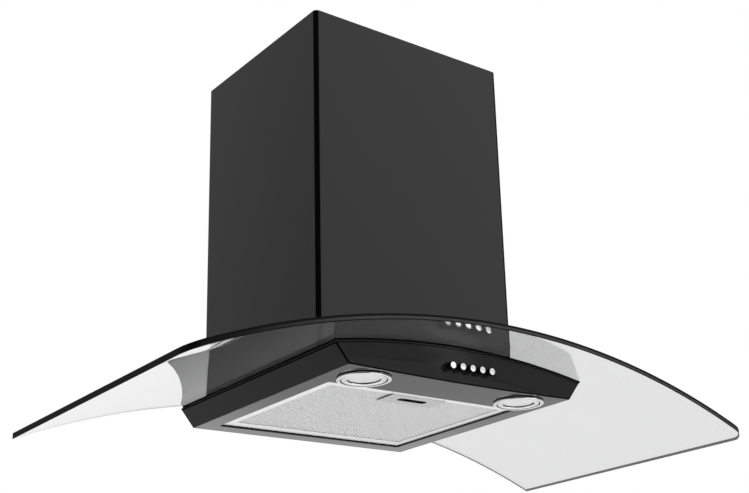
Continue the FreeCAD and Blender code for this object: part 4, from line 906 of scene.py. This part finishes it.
# Canopy screws: domed heads and soft washers, square to the arch
SCREW_SIDE, SCREW_BACK, SCREW_FRONT = 0.18595, -0.302 / 3, -0.351
SCREW_SPOTS = [(side * x, y) for side in (-1, 1) for x, y in (
    (SCREW_SIDE, SCREW_BACK), (0.55 * SCREW_SIDE, SCREW_FRONT))]
DOMED_SCREW = [(0.0, -16.2), (2.6, -16.2), (3.0, -15.7), (3.0, 0.0), (8.6, 0.0), (9.0, 0.4), (8.7, 1.2),
               (7.4, 2.3), (5.0, 3.3), (2.6, 3.8), (2.2, 3.2), (0.0, 3.2)]
HEXAGON_NUT = [(3.2, -16.0), (5.5, -16.0), (5.5, -12.1), (3.2, -12.1)]
SOFT_WASHER = [(3.3, 0.0), (9.8, 0.0), (10.0, 0.2), (9.6, 0.8), (9.2, 1.0), (3.3, 1.0)]


def on_arch(radius):
    """Place and turn of each canopy screw at a distance from the arch's axis."""
    spots = []
    for x, y in SCREW_SPOTS:
        lean = math.asin(x / (ARCH_RADIUS + GLASS_THICKNESS))
        spots.append(((radius * math.sin(lean), y, ARCH_CENTRE + radius * math.cos(lean)), (0, lean, 0)))
    return spots


# Blower wheel: curved blades between two rims, and a hub disc in the middle; profiles in millimetres
BLOWER_MIDDLE = (0, -0.182, 0.172)
RIMS = [[(62.0, z), (74.0, z), (74.0, z + 1.2), (62.0, z + 1.2)] for z in (-50.0, 48.8)]
HUB_DISC = [(4.0, -8.0), (10.4, -8.0), (11.0, -7.4), (11.0, -2.0), (13.5, -0.6), (40.0, -0.6), (44.0, -2.2),
            (48.0, -2.2), (52.0, -0.6), (74.0, -0.6), (74.0, 0.6), (52.0, 0.6), (48.0, -1.0), (44.0, -1.0),
            (40.0, 0.6), (13.5, 0.6), (11.0, 2.0), (11.0, 7.4), (10.4, 8.0), (4.0, 8.0)]


def blade_tree():
    """Puts copies of one blade round the Z axis."""
    tree, given, result = new_tree("blade_ring", [("Blade", "Object", None), ("Blades", "Int", 32)])
    blade = add_node(tree, "GeometryNodeObjectInfo", Object=given["Blade"])
    points = add_node(tree, "GeometryNodeMeshLine", Count=given["Blades"], Offset=(0, 0, 0))
    index = tree.nodes.new("GeometryNodeInputIndex").outputs[0]
    angle = math_node(tree, "MULTIPLY", index, math_node(tree, "DIVIDE", 2 * math.pi, given["Blades"]))
    rotation = turned_by(tree, vector_of(tree, Z=angle))
    return end_tree(tree, given, result, copies_on(
        tree, points.outputs[0], blade.outputs["Geometry"], Rotation=rotation))


def curved_blade(half_width, inner, outer, lean, thickness, steps=6):
    """One forward-curved blade, along Z, with its own thickness."""
    bm = bmesh.new()
    skins = []
    for side in (0, 1):
        for level in (-half_width, half_width):
            line = []
            for k in range(steps + 1):
                t = k / steps
                line.append(bm.verts.new((inner + (outer - inner) * t - side * thickness / 2 * t,
                                          lean * t ** 1.7 + side * thickness, level)))
            skins.append(line)
    low_a, high_a, low_b, high_b = skins
    for k in range(steps):
        bm.faces.new((low_a[k], low_a[k + 1], high_a[k + 1], high_a[k]))
        bm.faces.new((high_b[k], high_b[k + 1], low_b[k + 1], low_b[k]))
        bm.faces.new((high_a[k], high_a[k + 1], high_b[k + 1], high_b[k]))
        bm.faces.new((low_b[k], low_b[k + 1], low_a[k + 1], low_a[k]))
    for k in (0, steps):
        bm.faces.new((low_a[k], high_a[k], high_b[k], low_b[k]))
    return mesh_from(bm)


def blower_wheel():
    paint = FINISHES[SLOT_OF["impeller_wheel"]]
    blade = piece_from(curved_blade(
        half_width=0.0495, inner=0.0625, outer=0.0732, lean=0.009, thickness=0.001), "blade")
    ring = grown(blade_tree(), "blades", Blade=blade, Blades=32, Material=paint)
    bpy.data.objects.remove(blade)
    turned = [lathe(profile, 96) for profile in (*RIMS, HUB_DISC)]
    place = Matrix.Translation(BLOWER_MIDDLE) @ Matrix.Rotation(math.pi / 2, 4, "Y")
    piece = joined([(mesh, place) for mesh in (ring, *turned)], "blower_wheel")
    smooth(piece, 35)
    return finish_piece(piece, "impeller_wheel", material=paint)


# The body's leaning sides: half the width at the foot, how much it grows, and over what height
SIDE_FOOT, SIDE_GAIN, SIDE_HEIGHT = 0.1855, 0.02, 0.02524
BODY_FRONT = -0.397


def on_body_fold(spot):
    """Edges along the leaning sides, at the front and at the top."""
    side = SIDE_FOOT + SIDE_GAIN * spot.z / SIDE_HEIGHT
    return abs(abs(spot.x) - side) < 0.0004 and (spot.y < BODY_FRONT + 0.007 or spot.z > 0.02)


def on_fascia_rim(spot):
    """Front edges, but for those of the buttons' openings."""
    return spot.y < BODY_FRONT + 0.0004 and (abs(spot.x) > 0.1 or not 0.003 < spot.z < 0.03)


# Studio: plain and pale; the floor's patches and the screens round the hood show only in reflections
FLOOR_LEVEL = -1.6
# Each patch: x, y, radius of its full tone and of its rim, and how much darker it is (below 0 brighter)
FLOOR_PATCHES = ((-1.6, 3.3, 1.2, 2.2, 0.62), (-2.6, -2.3, 1.5, 2.3, 0.93), (3.7, 4.4, 0.8, 1.9, 0.4),
                 (4.1, -5.1, 0.7, 1.1, -3.0))
# Each screen: direction, the cosine to it where it begins and where it is full, how dark, height of its foot
SCREENS = (((-0.843, -0.537, 0), 0.55, 0.72, 0.93, -0.6), ((-0.52, 0.854, 0), 0.62, 0.85, 0.6, -0.2),
           ((1.0, 0.0, 0), 0.75, 0.81, 0.96, -0.2), ((0.74, 0.672, 0), 0.9, 0.95, 0.9, 0.2))
SOFT_LIGHT = 0.85
# Each lamp: name, place, size and power
LAMPS = (("key", (-1.6, -2.0, 1.9), 1.6, 14), ("fill", (2.2, -1.8, 0.6), 2.0, 8),
         ("below", (0.2, -1.0, -1.2), 1.6, 5))
LAMPS_AIM = Vector((0, -0.2, 0.15))


def mirrored_only(tree):
    """The kinds of ray, and 1 for one that a surface mirrors and that no glass lets through."""
    path = tree.nodes.new("ShaderNodeLightPath").outputs
    direct = one_minus(tree, path["Is Transmission Ray"])
    return path, math_node(tree, "MULTIPLY", path["Is Glossy Ray"], direct)


def pale_floor():
    """Seen from above only; from below it is clear."""
    finish = Finish("pale_floor", grey(0.9), 0.9)
    tree = finish.tree
    strength = 1.0
    for x, y, first, last, depth in FLOOR_PATCHES:
        away = vector_math(tree, "DISTANCE", finish.position, (x, y, FLOOR_LEVEL))
        strength = math_node(tree, "MULTIPLY", strength, smooth_step(tree, away, first, last, 1 - depth))
    # Mirrored rays see the floor glow instead of its shading: painted light, dimmed in patches and
    # brightened in one
    glow = add_node(tree, "ShaderNodeEmission", Strength=strength)
    shown = mixed_shaders(tree, mirrored_only(tree)[1], finish.shader, glow)
    clear = tree.nodes.new("ShaderNodeBsdfTransparent")
    backfacing = tree.nodes.new("ShaderNodeNewGeometry").outputs["Backfacing"]
    one_way = mixed_shaders(tree, backfacing, shown, clear)
    connect(tree, one_way.outputs[0], tree.nodes["Material Output"].inputs["Surface"])
    mesh = bpy.data.meshes.new("floor")
    corners = [(x, y, FLOOR_LEVEL) for x, y in ((-7, -7), (7, -7), (7, 7), (-7, 7))]
    mesh.from_pydata(corners, [], [(0, 1, 2, 3)])
    floor = piece_from(mesh, "floor")
    floor.data.materials.append(finish.material)


def soft_world():
    """White light, even but for what mirrored rays see of the screens."""
    world = bpy.data.worlds.new("studio")
    world.use_nodes = True
    SCENE.world = world
    tree = world.node_tree
    around = tree.nodes.new("ShaderNodeTexCoord").outputs["Generated"]
    level = vector_math(tree, "NORMALIZE", vector_math(tree, "MULTIPLY", around, (1, 1, 0)))
    height = axes(tree, around)["Z"]
    overhead = one_minus(tree, smooth_step(tree, height, 0.6, 0.75))
    low = one_minus(tree, smooth_step(tree, height, -0.24, -0.16))
    light = one_minus(tree, math_node(tree, "MULTIPLY", low, 0.35))
    for direction, first, last, depth, foot in SCREENS:
        standing = math_node(tree, "MULTIPLY", overhead, smooth_step(tree, height, foot, foot + 0.022))
        toward = vector_math(tree, "DOT_PRODUCT", level, direction)
        screen = math_node(tree, "MULTIPLY", standing, smooth_step(tree, toward, first, last, high=depth))
        light = math_node(tree, "MULTIPLY", light, one_minus(tree, screen))
    path, glossy = mirrored_only(tree)
    straight = math_node(tree, "MAXIMUM", path["Is Camera Ray"], path["Is Transmission Ray"])
    soft = one_minus(tree, math_node(tree, "MAXIMUM", straight, glossy))
    total = math_node(tree, "ADD", math_node(tree, "MULTIPLY", light, glossy), straight)
    background = tree.nodes["Background"].inputs
    connect(tree, math_node(tree, "MULTIPLY_ADD", soft, SOFT_LIGHT, total), background["Strength"])
    connect(tree, (1, 1, 1, 1), background["Color"])


def soft_lamps():
    """Wide lamps that light the hood and are seen nowhere themselves."""
    for name, spot, size, power in LAMPS:
        data = bpy.data.lights.new(name, "AREA")
        data.shape = "DISK"
        data.size = size
        data.energy = power
        lamp = bpy.data.objects.new(name, data)
        SCENE.collection.objects.link(lamp)
        lamp.location = spot
        lamp.rotation_euler = (LAMPS_AIM - Vector(spot)).to_track_quat("-Z", "Y").to_euler()
        lamp.visible_glossy = False
        lamp.visible_camera = False
        lamp.visible_transmission = False


aim_camera()
SCENE.view_settings.view_transform = "Standard"
pale_floor()
soft_world()
soft_lamps()

# Every carried-over CAD node gets its own finish
for node_name, node in NODES.items():
    node.data.materials.clear()
    node.data.materials.append(FINISHES[SLOT_OF[node_name]])

glass_sheet()
folded_cover("chimney_lower", "chimney_cover", 0.007, lambda x: arch(ARCH_RADIUS - GASKET, x))
upper_low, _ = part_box("chimney_upper")
folded_cover("chimney_upper", "chimney_sleeve", 0.0054, lambda x: upper_low.z)

# The shell's and fascia's rounded seams, and the shell's sides just under the glass, take painted shade
refined("body_shell", "hood_shell", 0.0014, 3, seam=True, dark_above=0.0232, pick=on_body_fold)
refined("front_fascia", "hood_fascia", 0.0017, 3, material=FASCIA, seam=True, pick=on_fascia_rim)
for node_name, name, width in (
        ("top_deck", "hood_deck", 0.0003), ("underside_panel", "hood_underside", 0.0008),
        ("glass_gasket", "canopy_gasket", 0.0004), ("filter_frame", "filter_border", 0.0005)):
    refined(node_name, name, width)

# The sides of the latch's plate that face left lie in its own shadow, which is painted on them
plate = refined("latch_plate", "filter_latch_plate", 0.0002, material=LATCH_GREY)
plate.data.materials.append(BLACK_AND_PAINTED_SHADE)
for face in plate.data.polygons:
    face.material_index = 1 if face.normal.x < -0.5 else 0

for side in ("left", "right"):
    turned_piece(RING, f"lamp_bezel_{side}", f"lamp_ring_{side}", RING_SHADE_BANDS)
    turned_piece(LENS, f"lamp_lens_{side}", f"lamp_glass_{side}")
    refined(f"lamp_can_{side}", f"lamp_reflector_{side}", 0)
for number in range(1, 6):
    turned_piece(CAP, f"button_cap_{number}", f"push_cap_{number}", CAP_DARK, steps=48)
    refined(f"button_stem_{number}", f"push_stem_{number}", 0.0002)

# Everything that sits inside or behind, with its edges broken by a width
for node_name, width in (
        ("button_collars", 0.0003), ("switch_block", 0.0004), ("latch_cup", 0.0003), ("latch_bolt", 0.0003),
        ("filter_pins", 0.0003), ("lamp_bulbs", 0), ("chimney_feet", 0.0002), ("foot_screws", 0.0002),
        ("back_plate", 0.0002), ("chimney_bracket", 0.0002), ("bracket_screws", 0.0002),
        ("motor_box", 0.0002), ("scroll_left", 0.0003), ("scroll_right", 0.0003), ("motor", 0.0003),
        ("motor_shaft", 0.0003),
        ("motor_bracket", 0.0002), ("capacitor", 0.0004), ("duct_collar", 0.0003),
        ("damper_flap_front", 0.0002), ("damper_flap_back", 0.0002), ("damper_pin", 0.0002),
        ("terminal_box", 0.0006), ("cable_gland", 0.0003), ("transformer", 0.0006)):
    refined(node_name, "made_" + node_name, width)

# The latch's springs sit between the filter's cup and the bolt and ride with no body
springs = refined("latch_springs", "made_latch_springs", 0, rides=False)
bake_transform(springs)

blower_wheel()
glass_top = ARCH_RADIUS + GLASS_THICKNESS
screw_seat = glass_top + 0.00105
fastener_row("glass_screws", "canopy_screws", (lathe(DOMED_SCREW, 40), lathe(HEXAGON_NUT, 6)),
             on_arch(screw_seat))
fastener_row("glass_washers", "canopy_washers", (lathe(SOFT_WASHER, 40),), on_arch(glass_top))

# Filter: nets and fleece inside the frame, clear of the latch's cup
net_low, net_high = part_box("filter_face_mesh")
core_low, core_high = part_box("filter_core")
cup_low, cup_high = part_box("latch_cup")
margin = 0.0015
left, right = net_low.x + margin, net_high.x - margin
front, back = net_low.y + margin, net_high.y - margin
net_piece("filter_face_mesh", "filter_face_net", [
    (left, right, cup_high.y + 0.002, back), (left, cup_low.x - margin, front, cup_high.y + 0.001),
    (cup_high.x + margin, right, front, cup_high.y + 0.001)], 0.0052)
pleated_core([
    (core_low.x, core_high.x, core_low.y, core_high.y),
    (core_low.x, cup_low.x - margin, net_low.y + 0.002, core_low.y),
    (cup_high.x + margin, core_high.x, net_low.y + 0.002, core_low.y)], core_low.z, core_high.z)
net_piece("filter_back_mesh", "filter_back_net", [(left, right, front, back)], 0.0068)
